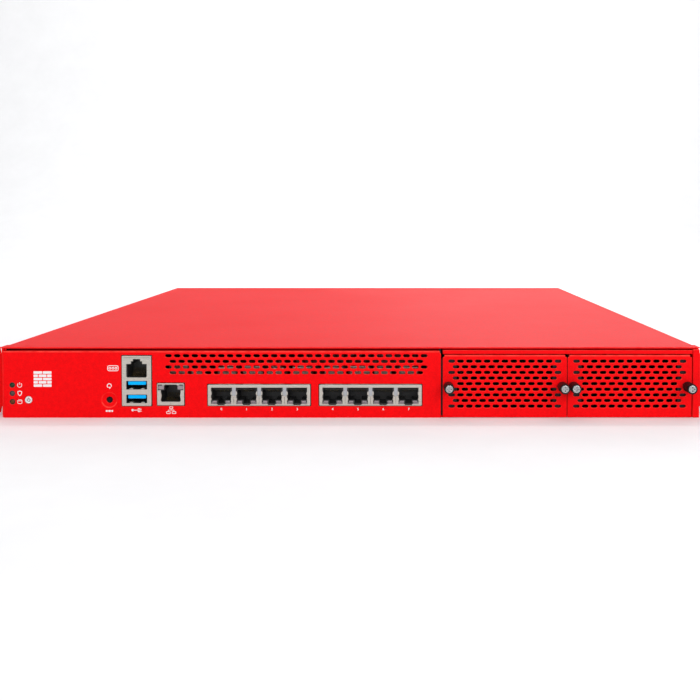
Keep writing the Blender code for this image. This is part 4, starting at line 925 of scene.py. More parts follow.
def build_rack_ears():
    """Rack ears: a flange with two slots, bent back into a leg with three screws."""
    for name, sign in SIDES:
        across, along, up = span(f"rack_ear_{name}")
        inner = min(abs(part) for part in across)
        outer = max(abs(part) for part in across)
        sheet = 2.0 * MM
        bend = 3.0 * MM
        form = bmesh.new()
        neck = (5 * MM, 39 * MM)
        half = [(inner - 2 * bend, neck[0]), (inner + 4.6 * MM, neck[0])]
        half += arc((inner + 7.1 * MM, up[0] + 2 * MM), 2 * MM, 180, 270, 3)
        half += arc((outer - 2.5 * MM, up[0] + 2.5 * MM), 2.5 * MM, 270, 360, 4)
        half += arc((outer - 2.5 * MM, up[1] - 2.5 * MM), 2.5 * MM, 0, 90, 4)
        half += arc((inner + 7.1 * MM, up[1] - 2 * MM), 2 * MM, 90, 180, 3)
        half += [(inner + 4.6 * MM, neck[1]), (inner - 2 * bend, neck[1])]
        outline = [(sign * x, z) for x, z in half]
        centre = (up[0] + up[1]) / 2
        holes = [obround(sign * RACK_HOLE_ACROSS, centre + rise, 10.5 * MM, 6.8 * MM, 8)
                 for rise in (-RACK_HOLE_RISE, RACK_HOLE_RISE)]
        add_plate(form, outline, holes, "Y", along[0], sheet, 0.25 * MM)
        pivot = (sign * (inner + bend), along[0] + bend, 0)
        fold(form, pivot, (-sign, 0, 0), (0, 0, 1), -90 * sign, (0, along[1] - along[0] - bend, 0), 6)
        made_piece(f"ear_{name}", form, "red_powder_coat", "chassis", [f"rack_ear_{name}"])
        screws = bmesh.new()
        for place, rise in EAR_SCREWS:
            add_screw_head(screws, (sign * (inner + sheet - 0.05 * MM), place * MM, rise * MM), "X", sign,
                           3.0 * MM, 0.9 * MM)
        made_piece(f"ear_screws_{name}", screws, "turned_steel", "chassis", marked=False)


# ---------------------------------------------------------------- jacks, sockets, lights and buttons


def stepped(centre, base, levels):
    """A mouth with mirrored sides. Levels are (height above base, half width) up its right side, in mm."""
    right = [(centre + half * MM, base + height * MM) for height, half in levels]
    left = [(centre - half * MM, base + height * MM) for height, half in reversed(levels)]
    return right + left


CONSOLE_JACK = ((17.85, 5.7), (18.55, 6.4), (26.35, 6.4), (26.35, 3.55), (28.05, 3.55), (28.05, 2.3),
                (29.45, 2.3))
CONSOLE_POCKET = ((18.0, 5.9), (26.1, 5.9), (26.1, 3.3), (27.9, 3.3), (27.9, 2.1), (29.2, 2.1))
USB_MOUTHS = ((1.7, 7.1), (10.3, 15.7))
MANAGEMENT_JACK = ((2.2, 5.7), (2.8, 6.2), (9.5, 6.2), (9.5, 8.0), (13.05, 8.0))
MANAGEMENT_POCKET = ((2.4, 5.9), (9.3, 5.9), (9.3, 4.0), (12.4, 4.0))
PORT_POCKET = ((0.75, 2.2), (3.3, 2.2), (3.3, 5.9), (11.0, 5.9))
PORT_PITCH = 15.87


def add_shell(form, box, mouths):
    """A jack's metal shell: a face with mouths and a thin body behind it."""
    across, along, up = box
    inset = 0.06 * MM
    add_plate(form, rounded(across, up, 0.55 * MM), mouths, "Y", along[0], 0.55 * MM, inset)
    open_box(form, (across[0] + inset, along[0] + 0.2 * MM, up[0] + inset),
             (across[1] - inset, along[1], up[1] - inset), 0.35 * MM, "Y", -1, 0.3 * MM)


def add_insert(form, box, pockets, depth):
    """A jack's plastic insert: a block with pockets and a closed back."""
    across, along, up = box
    add_plate(form, rounded(across, up, 0.2 * MM), pockets, "Y", along[0], depth, 0.1 * MM)
    add_box(form, (across[0], along[0] + depth - 0.2 * MM, up[0]), (across[1], along[1], up[1]), 0.1 * MM)


def add_contacts(form, centre, front, high, low, tab_up):
    """Eight spring wires that slope across a jack's pocket."""
    for pin in range(8):
        across = centre + (pin - 3.5) * 1.02 * MM
        start, end = (low, high) if tab_up else (high, low)
        add_rod(form, (across, front + 3.5 * MM, start), (across, front + 11.5 * MM, (start + end) / 2),
                0.2 * MM, 6)


def add_finger(form, across, up, front, side, reach=0.5, tall=4.6):
    """A shell's spring finger, bowed towards the plug. Side is +1 or -1 along X."""
    radius = (tall * tall / 4 + reach * reach) / (2 * reach)
    half = math.degrees(math.asin(tall / 2 / radius))
    bow = arc((across - side * (radius - reach) * MM, up), radius * MM, -half, half, 6)
    if side < 0:
        bow = arc((across + (radius - reach) * MM, up), radius * MM, 180 - half, 180 + half, 6)
    back = [(across - side * 0.3 * MM, bow[-1][1]), (across - side * 0.3 * MM, bow[0][1])]
    add_plate(form, bow + back, [], "Y", front, 1.5 * MM, 0.1 * MM)


def build_console_stack():
    """Console jack over two USB sockets in one shell, with its insert, tongues and contacts."""
    shell, insert = span("console_usb_shell"), span("console_jack_insert")
    centre, base, front = middle("console_usb_shell").x, shell[2][0], shell[1][0]
    mouths = [stepped(centre, base, CONSOLE_JACK)]
    for low, high in USB_MOUTHS:
        mouths.append(rounded(about(centre, 13.0 * MM), (base + low * MM, base + high * MM), 0.35 * MM))
    form = bmesh.new()
    mouths.append(rounded(about(centre, 16.4 * MM), (shell[2][1] - 1.25 * MM, shell[2][1] - 1.1 * MM), 0.0))
    add_shell(form, shell, mouths)
    for low, high in USB_MOUTHS:
        for shift in (-3.6, 3.6):
            add_block(form, (centre, front, base), (shift - 1.1, shift + 1.1), (0.7, 5),
                      (low + 0.05, low + 0.55), 0.15)
    made_piece("console_shell", form, "satin_nickel", "chassis", ["console_usb_shell"])
    form = bmesh.new()
    add_insert(form, insert, [stepped(centre, base, CONSOLE_POCKET)], 13 * MM)
    for low, high in USB_MOUTHS:
        open_box(form, (centre - 6.6 * MM, front + 0.5 * MM, base + (low - 0.1) * MM),
                 (centre + 6.6 * MM, front + 17.5 * MM, base + (high + 0.1) * MM), 0.15 * MM, "Y", -1)
    made_piece("console_insert", form, "moulded_black", "chassis", ["console_jack_insert"])
    for name in ("lower", "upper"):
        across, along, up = span(f"usb_tongue_{name}")
        form = bmesh.new()
        add_box(form, (across[0], along[0], up[0]), (across[1], along[1], up[1]), 0.25 * MM, 3)
        made_piece(f"tongue_{name}", form, "moulded_blue", "chassis",
                   [f"usb_tongue_{name}"])
    form = bmesh.new()
    add_contacts(form, centre, front, base + 26.0 * MM, base + 18.4 * MM, True)
    for name in ("lower", "upper"):
        across, along, up = span(f"usb_tongue_{name}")
        for shift in (-3.5, -1.0, 1.0, 3.5):
            add_box(form, (centre + (shift - 0.5) * MM, along[0] + 0.5 * MM, up[0] - 0.12 * MM),
                    (centre + (shift + 0.5) * MM, along[1] - 1 * MM, up[0] + 0.1 * MM), 0.04 * MM, 1)
    made_piece("console_contacts", form, "contact_gold", "chassis", marked=False)


def build_management_jack():
    """Single jack with light pipes in its top corners."""
    shell, insert = span("management_jack_shell"), span("management_jack_insert")
    centre, base, front = middle("management_jack_shell").x, shell[2][0], shell[1][0]
    form = bmesh.new()
    seam = rounded(about(centre, 0.16 * MM), (base + 0.25 * MM, base + 1.95 * MM), 0.0)
    add_shell(form, shell, [stepped(centre, base, MANAGEMENT_JACK), seam])
    for side in (-1, 1):
        add_finger(form, centre - side * 6.3 * MM, base + 6.0 * MM, front + 0.3 * MM, side)
        add_block(form, (centre, front, base), grown((side * 4.6,) * 2, 0.8), (0.1, 1.2), (12.5, 13.3),
                  0.15)
    made_piece("management_shell", form, "satin_nickel", "chassis", ["management_jack_shell"])
    form = bmesh.new()
    add_insert(form, insert, [stepped(centre, base, MANAGEMENT_POCKET)], 13 * MM)
    made_piece("management_insert", form, "moulded_black", "chassis",
               ["management_jack_insert"])
    form = bmesh.new()
    for side in (-1, 1):
        add_block(form, (centre, front, base), grown((side * 6.05,) * 2, 1.8), (0.15, 1.05), (9.9, 12.4),
                  0.25, 3)
    made_piece("management_pipes", form, "light_pipe", "chassis", marked=False)
    form = bmesh.new()
    add_contacts(form, centre, front, base + 9.2 * MM, base + 2.7 * MM, True)
    made_piece("management_contacts", form, "contact_gold", "chassis", marked=False)


def bank_mouth(centres, base):
    """Outline of four jacks' shared mouth: open above, divided below, with a notch for each plug's tab."""
    half, sill, split = 6.3 * MM, base + 1.0 * MM, base + 6.1 * MM
    points = []
    for centre in centres:
        left, right = centre - half, centre + half
        notch = (centre - 2.25 * MM, centre + 2.25 * MM)
        points += [(left, split), (left, sill), (notch[0], sill), (notch[0], base + 0.35 * MM)]
        points += [(notch[1], base + 0.35 * MM), (notch[1], sill), (right, sill), (right, split)]
    top = base + 11.35 * MM
    return points + [(centres[-1] + half, top), (centres[0] - half, top)]


def build_port_banks():
    """Two banks of four jacks: shells with spring fingers, inserts, light pipes and contacts."""
    for bank in ("a", "b"):
        shell, insert = span(f"port_bank_{bank}_shell"), span(f"port_bank_{bank}_insert")
        middle_x, base, front = middle(f"port_bank_{bank}_shell").x, shell[2][0], shell[1][0]
        centres = [middle_x + (port - 1.5) * PORT_PITCH * MM for port in range(4)]
        form = bmesh.new()
        dividers = [(before + after) / 2 for before, after in zip(centres, centres[1:])]
        seams = [rounded(about(x, 0.16 * MM), (base + 1.2 * MM, base + 5.7 * MM), 0.0) for x in dividers]
        add_shell(form, shell, [bank_mouth(centres, base)] + seams)
        for centre in centres:
            for side in (-1, 1):
                add_finger(form, centre - side * 6.45 * MM, base + 7.6 * MM, front + 0.1 * MM, side, 0.6,
                           2.6)
                add_block(form, (centre, front, base), grown((side * 6.35,) * 2, 0.3), (0.25, 1.4),
                          (3.2, 4.6), 0.12)
        made_piece(f"bank_{bank}_shell", form, "satin_nickel", "chassis",
                   [f"port_bank_{bank}_shell"])
        form = bmesh.new()
        for x in dividers:
            add_block(form, (x, front, base), (-1.2, 1.2), (0.8, 1.08), (5.6, 12.2), 0.1, 1)
        made_piece(f"bank_{bank}_dividers", form, "plated_sheet", "chassis", marked=False)
        form = bmesh.new()
        add_insert(form, insert, [stepped(centre, base, PORT_POCKET) for centre in centres], 13 * MM)
        for centre in centres:
            for ledge in (9.7, 10.3):
                add_block(form, (centre, front, base), (-5.7, 5.7), (1.9, 8), (ledge, ledge + 0.3), 0.08, 1)
        made_piece(f"bank_{bank}_insert", form, "moulded_black", "chassis",
                   [f"port_bank_{bank}_insert"])
        form = bmesh.new()
        for centre in centres:
            for side in (-1, 1):
                for low, high in ((1.15, 1.95), (2.2, 2.95)):
                    reach = 6.1 if low < 2 else 5.6
                    ends = sorted((side * 2.75, side * reach))
                    add_block(form, (centre, front, base), ends, (0.3, 1.0), (low, high), 0.15)
        made_piece(f"bank_{bank}_pipes", form, "light_pipe", "chassis", marked=False)
        form = bmesh.new()
        for centre in centres:
            add_contacts(form, centre, front, base + 9.4 * MM, base + 3.6 * MM, False)
        made_piece(f"bank_{bank}_contacts", form, "contact_gold", "chassis", marked=False)


def build_lights():
    """Three domed status lights."""
    for name, tint in (("power", "green"), ("arm", "grey"), ("storage", "amber")):
        centre, along = middle(f"status_light_{name}"), span(f"status_light_{name}")[1]
        form = bmesh.new()
        profile = scaled([(0.0, -0.12), (0.55, -0.08), (1.0, 0.04), (1.3, 0.25), (1.48, 0.6), (1.5, 1.0),
                          (1.5, 5.0)])
        profile += scaled([(1.9, 5.0), (1.9, 6.0), (0.0, 6.0)])
        add_turned(form, profile, (centre.x, along[0], centre.z), steps=32)
        made_piece(f"lens_{name}", form, f"{tint}_lens", "chassis",
                   [f"status_light_{name}"], 50.0,
                   marked=False)
        form = bmesh.new()
        add_turned(form, scaled([(1.48, 1.2), (1.48, 0.2), (1.72, 0.2), (1.72, 1.2)]),
                   (centre.x, along[0], centre.z))
        made_piece(f"lens_sleeve_{name}", form, "moulded_black", "chassis", marked=False)


def build_buttons():
    """Power button with a raised ring and its mark, and the black reset button in its hole."""
    centre, along = middle("power_button"), span("power_button")[1]
    front = along[0]
    form = bmesh.new()
    profile = [(0.0, 0.30), (1.20, 0.26), (1.34, 0.05), (1.42, -0.10), (1.55, -0.16), (1.95, -0.16),
               (2.12, -0.05)]
    profile += [(2.2, 0.2), (2.2, 1.8), (3.2, 1.8), (3.2, 2.8), (1.1, 2.8), (1.1, 4.6), (0.0, 4.6)]
    add_turned(form, scaled(profile), (centre.x, front, centre.z), steps=40)
    made_piece("power_cap", form, "moulded_white", "power_button", ["power_button"], 60.0)
    form = bmesh.new()
    gap = 38
    outer = arc((centre.x, centre.z), 1.05 * MM, 90 + gap, 450 - gap, 20)
    inner = arc((centre.x, centre.z), 0.68 * MM, 450 - gap, 90 + gap, 20)
    add_plate(form, outer + inner, [], "Y", front + 0.22 * MM, 0.06 * MM, 0.0)
    add_plate(form, rounded(about(centre.x, 0.36 * MM), (centre.z + 0.1 * MM, centre.z + 1.1 * MM),
                            0.1 * MM), [], "Y",
              front + 0.22 * MM, 0.06 * MM, 0.0)
    add_turned(form, scaled([(1.32, 0.14), (1.32, 0.02), (1.5, -0.14), (1.5, 0.1)]),
               (centre.x, front, centre.z), steps=40)
    made_piece("power_mark", form, "grey_ink", "power_button", marked=False)
    centre, along = middle("reset_button"), span("reset_button")[1]
    form = bmesh.new()
    profile = scaled([(0.0, 0.25), (1.1, 0.2), (1.5, 0.0), (1.7, 0.15), (1.75, 0.5), (1.75, 0.9),
                      (2.7, 0.9), (2.7, 1.9)])
    profile += scaled([(0.9, 1.9), (0.9, 3.7), (0.0, 3.7)])
    add_turned(form, profile, (centre.x, along[0], centre.z), steps=32)
    made_piece("reset_cap", form, "knurled_black", "reset_button", ["reset_button"], 50.0,
               marked=False)


# ---------------------------------------------------------------- printed marks


def add_mark(form, outline, holes=()):
    """A printed shape on the front panel's face."""
    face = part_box("front_panel")[0].y
    height = sizes().ink_height
    add_plate(form, outline, list(holes), "Y", face - height, height, 0.0)


def line_mark(form, start, end, width):
    """A straight printed line."""
    run = Vector((end[0] - start[0], end[1] - start[1]))
    side = Vector((-run.y, run.x)).normalized() * width / 2
    add_mark(form, [(start[0] + side.x, start[1] + side.y), (start[0] - side.x, start[1] - side.y),
                    (end[0] - side.x, end[1] - side.y), (end[0] + side.x, end[1] + side.y)])


def frame_mark(form, across, up, radius, line):
    """A printed round-cornered frame."""
    inner = rounded(grown(across, -line), grown(up, -line), max(radius - line, 0.0))
    add_mark(form, rounded(across, up, radius), [inner])


def build_marks():
    """Plain white marks: the port numbers, and signs for lights, reset, console, USB and network."""
    form = bmesh.new()
    light = middle("status_light_power").x + 4.7 * MM
    line = 0.3 * MM
    up = middle("status_light_power").z
    outer = arc((light, up), 1.5 * MM, 128, 412, 20)
    inner = arc((light, up), 1.5 * MM - line, 412, 128, 20)
    add_mark(form, outer + inner)
    line_mark(form, (light, up + 0.2 * MM), (light, up + 1.8 * MM), line)
    up = middle("status_light_arm").z
    shield = [(0, -1.75), (1.0, -0.9), (1.4, 0.1), (1.4, 1.2), (0, 1.7), (-1.4, 1.2), (-1.4, 0.1),
              (-1.0, -0.9)]
    outline = [(light + x * MM, up + z * MM) for x, z in shield]
    inside = [(light + x * 0.7 * MM, up + (z * 0.7 + 0.02) * MM) for x, z in shield]
    add_mark(form, outline, [inside])
    up = middle("status_light_storage").z
    frame_mark(form, about(light, 3.0 * MM), about(up, 2.7 * MM), 0.9 * MM, line)
    line_mark(form, (light - 1.2 * MM, up + 0.55 * MM), (light + 1.2 * MM, up + 0.55 * MM), line)
    reset = middle("reset_button").x
    console = span("console_usb_shell")
    serial = console[0][0] - 5.6 * MM
    frame_mark(form, about(serial, 7.0 * MM), about(31.2 * MM, 3.6 * MM), 1.1 * MM, 0.42 * MM)
    for shift in (-1.9, 0.0, 1.9):
        add_mark(form, ring(serial + shift * MM, 31.2 * MM, 0.82 * MM, 16),
                 [ring(serial + shift * MM, 31.2 * MM, 0.42 * MM, 12)])
    centre = (reset + 0.1 * MM, 20.2 * MM)
    add_mark(form, arc(centre, 1.5 * MM, -30, 250, 18) + arc(centre, 1.05 * MM, 250, -30, 18))
    tip = [(-0.1, -1.95), (-0.1, -0.55), (1.0, -1.25)]
    add_mark(form, [(centre[0] + (x + 0.1) * MM, centre[1] + z * MM) for x, z in tip])
    for shift, width in ((-1.6, 1.2), (0.15, 1.5), (1.8, 1.0)):
        add_mark(form, rounded(about(reset + shift * MM, width * MM), about(4.3 * MM, 1.2 * MM), 0.3 * MM))
    usb = middle("console_usb_shell").x - 0.4 * MM
    up = 4.8 * MM
    line_mark(form, (usb - 2.2 * MM, up), (usb + 1.0 * MM, up), 0.4 * MM)
    add_mark(form, ring(usb - 2.3 * MM, up, 0.75 * MM, 16))
    add_mark(form, rounded((usb + 1.0 * MM, usb + 2.4 * MM), about(up, 2.3 * MM), 0.25 * MM),
             [rounded((usb + 1.4 * MM, usb + 2.0 * MM), about(up, 1.5 * MM), 0.0)])
    for rise in (-0.6, 0.6):
        line_mark(form, (usb + 2.4 * MM, up + rise * MM), (usb + 3.3 * MM, up + rise * MM), 0.36 * MM)
    net = middle("management_jack_shell").x + 0.2 * MM
    frame_mark(form, about(net, 2.3 * MM), about(6.35 * MM, 1.5 * MM), 0.25 * MM, 0.32 * MM)
    for shift in (-1.75, 1.75):
        frame_mark(form, about(net + shift * MM, 2.6 * MM), about(3.25 * MM, 1.6 * MM), 0.3 * MM, 0.34 * MM)
        line_mark(form, (net + shift * MM, 4.0 * MM), (net + shift * MM, 4.85 * MM), 0.32 * MM)
    line_mark(form, (net - 1.9 * MM, 4.85 * MM), (net + 1.9 * MM, 4.85 * MM), 0.32 * MM)
    line_mark(form, (net, 4.85 * MM), (net, 5.65 * MM), 0.32 * MM)
    add_wall_mark(form, -192.5 * MM, 24.5 * MM)
    made_piece("printed_marks", form, "white_ink", "chassis", marked=False)
    build_numbers()


def add_wall_mark(form, across, up):
    """A plain sign of a brick wall."""
    rows = (((-5.6, -0.25), (0.25, 5.6)), ((-5.6, -2.9), (-2.4, 2.4), (2.9, 5.6)))
    for row in range(5):
        low = up + (-5.0 + row * 2.05) * MM
        for left, right in rows[row % 2]:
            add_mark(form,
                     rounded((across + left * MM, across + right * MM), (low, low + 1.6 * MM), 0.3 * MM))


def build_numbers():
    """Port numbers 0 to 7 under the jacks."""
    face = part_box("front_panel")[0].y
    given = sizes()
    form = bmesh.new()
    number = 0
    for bank in ("a", "b"):
        centre = middle(f"port_bank_{bank}_shell").x
        for port in range(4):
            text = bpy.data.curves.new("number", "FONT")
            text.body = str(number)
            text.size = 2.1 * MM
            text.align_x = "CENTER"
            text.offset = 0.03 * MM
            text.extrude = given.ink_height / 2
            guide = bpy.data.objects.new("number", text)
            bpy.context.scene.collection.objects.link(guide)
            graph = bpy.context.evaluated_depsgraph_get()
            mesh = bpy.data.meshes.new_from_object(guide.evaluated_get(graph))
            bpy.data.objects.remove(guide)
            place = Vector((centre + (port - 1.5) * PORT_PITCH * MM + 0.1 * MM, face - given.ink_height / 2,
                            4.75 * MM))
            mesh.transform(Matrix.Translation(place) @ FACINGS["Y"])
            form.from_mesh(mesh)
            bpy.data.meshes.remove(mesh)
            number += 1
    made_piece("port_numbers", form, "white_ink", "chassis", marked=False)


# ---------------------------------------------------------------- inside


def build_inside():
    """Finishes of the parts whose solid shape stays, and the small parts standing on the main board."""
    kept = (
        ("circuit_board", ("main_board", "control_board", "bay_backplane", "power_midplane")),
        ("circuit_board", ("memory_module_1", "memory_module_2")),
        ("plated_sheet", ("drive_bracket",)),
        # The bay wall and frame take the near-black sheet: painted shade behind the vent slots.
        ("black_plated_sheet", ("bay_wall", "bay_frame")),
        ("extruded_aluminium", ("processor_heat_sink", "storage_drive")),
        ("turned_steel", ("backup_cell",)),
    )
    for finished, nodes in kept:
        for node in nodes:
            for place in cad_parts[node].material_slots:
                place.material = finish(finished)
    board = 7.2 * MM
    form = bmesh.new()
    for bank in ("a", "b"):
        centre = middle(f"port_bank_{bank}_shell").x
        for port, (shift, wide, tall) in enumerate(((-0.6, 12.4, 28.0), (0.4, 13.2, 28.7),
                                                    (-0.3, 11.6, 27.6), (0.7, 12.8, 28.3))):
            x = centre + ((port - 1.5) * PORT_PITCH + shift) * MM
            ends = (-210.6 * MM, -192.0 * MM)
            low, high = about(x, wide * MM)
            add_box(form, (low, ends[0], board), (high, ends[1], tall * MM), 0.8 * MM, 2)
            add_plate(form, rounded((low + 2 * MM, high - 2 * MM), grown(ends, -4 * MM), 1.2 * MM), [], "Z",
                      tall * MM - 0.05 * MM, 0.35 * MM, 0.1 * MM)
    centre = middle("management_jack_shell").x
    for shift, wide, tall in ((-1.0, 12.6, 28.9), (11.0, 8.0, 26.4)):
        low, high = about(centre + shift * MM, wide * MM)
        add_box(form, (low, -208.0 * MM, board), (high, -196.0 * MM, tall * MM), 0.8 * MM, 2)
    made_piece("filter_cans", form, "satin_nickel", "chassis")
    form = bmesh.new()
    sleeves = bmesh.new()
    spots = [(x, y) for x in (-66, -57) for y in (-118, -106, -94, -82, -70, -58)]
    spots += [(x, -150) for x in (-38, -26, -14, -2, 10, 22)]
    for x, y in spots:
        place = (x * MM, y * MM, board)
        can = [(0.0, 11.0), (2.9, 11.0), (3.15, 10.8), (3.2, 10.3), (3.0, 9.9), (3.2, 9.5), (3.2, 1.4),
               (3.2, 0.1), (0.0, 0.1)]
        add_turned(form, scaled(can), place, "Z", 16)
        add_box(sleeves, ((x - 3.4) * MM, (y - 3.4) * MM, board),
                ((x + 3.4) * MM, (y + 3.4) * MM, board + 1.2 * MM), 0.5 * MM, 1)
    made_piece("capacitor_cans", form, "extruded_aluminium", "chassis", angle=40.0,
               marked=False)
    chips = ((-40, -175, 17, 17), (-10, -178, 12, 12), (18, -176, 14, 10), (-150, -120, 21, 21),
             (-150, -60, 14, 14),
             (20, 40, 24, 24), (-60, 90, 12, 8), (-20, 130, 10, 14), (-70, 20, 16, 16), (5, 90, 8, 8))
    for x, y, wide, deep in chips:
        add_box(sleeves, ((x - wide / 2) * MM, (y - deep / 2) * MM, board),
                ((x + wide / 2) * MM, (y + deep / 2) * MM, 8.6 * MM),
                0.2 * MM, 1)
    for x in (-38, -26, -14, -2, 10, 22):
        add_box(sleeves, ((x - 4) * MM, -143 * MM, board), ((x + 4) * MM, -135 * MM, 11.4 * MM), 0.8 * MM,
                2)
    made_piece("board_chips", sleeves, "moulded_black", "chassis", marked=False)


# ---------------------------------------------------------------- rear

# From a fan's axis: its screw holes along X and Z, and those of a module's fan along the diagonal
FAN_SCREW = 16 * MM
MODULE_FAN_SCREW = 17.6 * MM
DIAGONALS = (45, 135, 225, 315)
REAR_SCREWS = ((-98.2, 38.0), (49.0, 38.0), (125.0, 39.6), (211.0, 38.0), (211.0, 5.5), (49.0, 5.5),
               (-98.0, 5.5))


def add_blades(form, centre, hub, tip, front, depth, chord, slants):
    """Twisted blades round a front-to-back axis."""
    count = sizes().blades
    columns = 5
    level = front + depth / 2
    before = set(form.verts)
    faces = set(form.faces)
    reach = tip - hub
    bmesh.ops.create_grid(form, x_segments=columns, y_segments=6, size=0.5,
                          matrix=Matrix.Translation((hub + reach / 2, 0,
                                                     0)) @ Matrix.Diagonal((reach, chord, 1.0, 1.0)))
    verts = [vert for vert in form.verts if vert not in before]
    for step in range(columns + 1):
        share = step / columns
        column = [vert for vert in verts if abs(vert.co.x - hub - reach * share) < 0.00001]
        for vert in column:
            vert.co.z = 0.35 * MM - 9.0 * vert.co.y * vert.co.y
            vert.co.y *= 0.85 + 0.3 * share
        slant = slants[0] + (slants[1] - slants[0]) * share
        bmesh.ops.rotate(form, cent=(0, 0, 0), matrix=Matrix.Rotation(math.radians(slant), 3, "X"),
                         verts=column)
    blade = [face for face in form.faces if face not in faces]
    bmesh.ops.recalc_face_normals(form, faces=blade)
    bmesh.ops.solidify(form, geom=blade, thickness=0.9 * MM)
    blade = [vert for vert in form.verts if vert not in before]
    stand = Matrix.Translation((centre.x, level, centre.z)) @ Matrix.Rotation(math.pi / 2, 4, "X")
    bmesh.ops.transform(form, matrix=stand, verts=blade)
    whole = blade + list({side for vert in blade for side in vert.link_edges})
    whole += list({face for vert in blade for face in vert.link_faces})
    for index in range(1, count):
        copies = [part for part in bmesh.ops.duplicate(form, geom=whole)["geom"]
                  if isinstance(part, bmesh.types.BMVert)]
        bmesh.ops.rotate(form, cent=(centre.x, level, centre.z), verts=copies,
                         matrix=Matrix.Rotation(2 * math.pi * index / count, 3, "Y"))


def build_rotor(name, node, body, axis_x, hub, chord):
    """A fan rotor: a cupped hub with twisted blades."""
    along, up = span(node)[1:]
    centre = Vector((axis_x, 0.0, (up[0] + up[1]) / 2))
    tip = (up[1] - up[0]) / 2
    front, back = along
    form = bmesh.new()
    profile = [(0.0, back), (hub - 2.2 * MM, back), (hub - 2.0 * MM, back - 0.3 * MM),
               (hub - 1.4 * MM, back - 0.3 * MM),
               (hub - 1.0 * MM, back), (hub - 0.6 * MM, back), (hub, back - 0.8 * MM),
               (hub, front + 1.2 * MM),
               (hub - 1.0 * MM, front), (0.0, front)]
    add_turned(form, profile, (centre.x, 0.0, centre.z), steps=40)
    add_blades(form, centre, hub - 0.4 * MM, tip - 0.1 * MM, front, back - front, chord, (46.0, 30.0))
    return made_piece(name, form, "fan_black", body, [node], 40.0, marked=False)


def build_fans():
    """Three case fans: frames with struts, and rotors that spin."""
    for number in (1, 2, 3):
        node = f"fan_frame_{number}"
        across, along, up = span(node)
        centre = middle(node)
        corners = [(centre.x + x * FAN_SCREW, centre.z + z * FAN_SCREW) for x in (-1, 1) for z in (-1, 1)]
        form = bmesh.new()
        for low in (along[0], along[1] - 3.5 * MM):
            holes = [ring(centre.x, centre.z, 19.1 * MM, 48)] + [ring(x, z, 1.9 * MM, 14)
                                                                 for x, z in corners]
            add_plate(form, rounded(across, up, 3.0 * MM, 5), holes, "Y", low, 3.5 * MM, 0.3 * MM)
        profile = [(18.7 * MM, along[0] + 0.1 * MM), (19.7 * MM, along[0] + 0.1 * MM),
                   (19.7 * MM, along[1] - 0.1 * MM),
                   (18.7 * MM, along[1] - 0.1 * MM)]
        add_turned(form, profile, (centre.x, 0.0, centre.z), steps=48)
        for x, z in corners:
            profile = [(1.95 * MM, along[0] + 3 * MM), (3.3 * MM, along[0] + 3 * MM),
                       (3.3 * MM, along[1] - 3 * MM),
                       (1.95 * MM, along[1] - 3 * MM)]
            add_turned(form, profile, (x, 0.0, z), steps=20)
        back = along[1] - 1.0 * MM
        motor = [(0.0, back), (9.6 * MM, back), (10.6 * MM, back - 0.6 * MM), (10.9 * MM, back - 1.6 * MM),
                 (10.9 * MM, back - 3.0 * MM), (0.0, back - 3.0 * MM)]
        add_turned(form, motor, (centre.x, 0.0, centre.z), steps=40)
        for turn in (35, 125, 215, 305):
            out = spoke(turn)
            start = Vector((centre.x, back - 1.6 * MM, centre.z)) + out * 10.0 * MM
            add_rod(form, start, start + out * 9.2 * MM, 1.1 * MM, 8)
        made_piece(f"fan_housing_{number}", form, "fan_black", "chassis", [node])
        build_rotor(f"fan_blades_{number}", f"fan_rotor_{number}", f"fan_rotor_{number}", centre.x,
                    11.0 * MM, 12.0 * MM)


def add_guard(form, centre, face, radii, corner):
    """A wire finger guard: rings on two crossed wires that end in screw eyes."""
    wire = sizes().guard_wire
    for radius in radii:
        add_hoop(form, (centre.x, face + 3 * wire, centre.z), radius, wire, steps=48, sides=8)
    for turn in DIAGONALS:
        out = spoke(turn)
        heart = Vector((centre.x, face + wire, centre.z))
        add_rod(form, heart + out * (radii[-1] - wire), heart + out * (corner - 2.1 * MM), wire, 8)
        add_hoop(form, heart + out * corner, 2.2 * MM, wire, steps=24, sides=8)


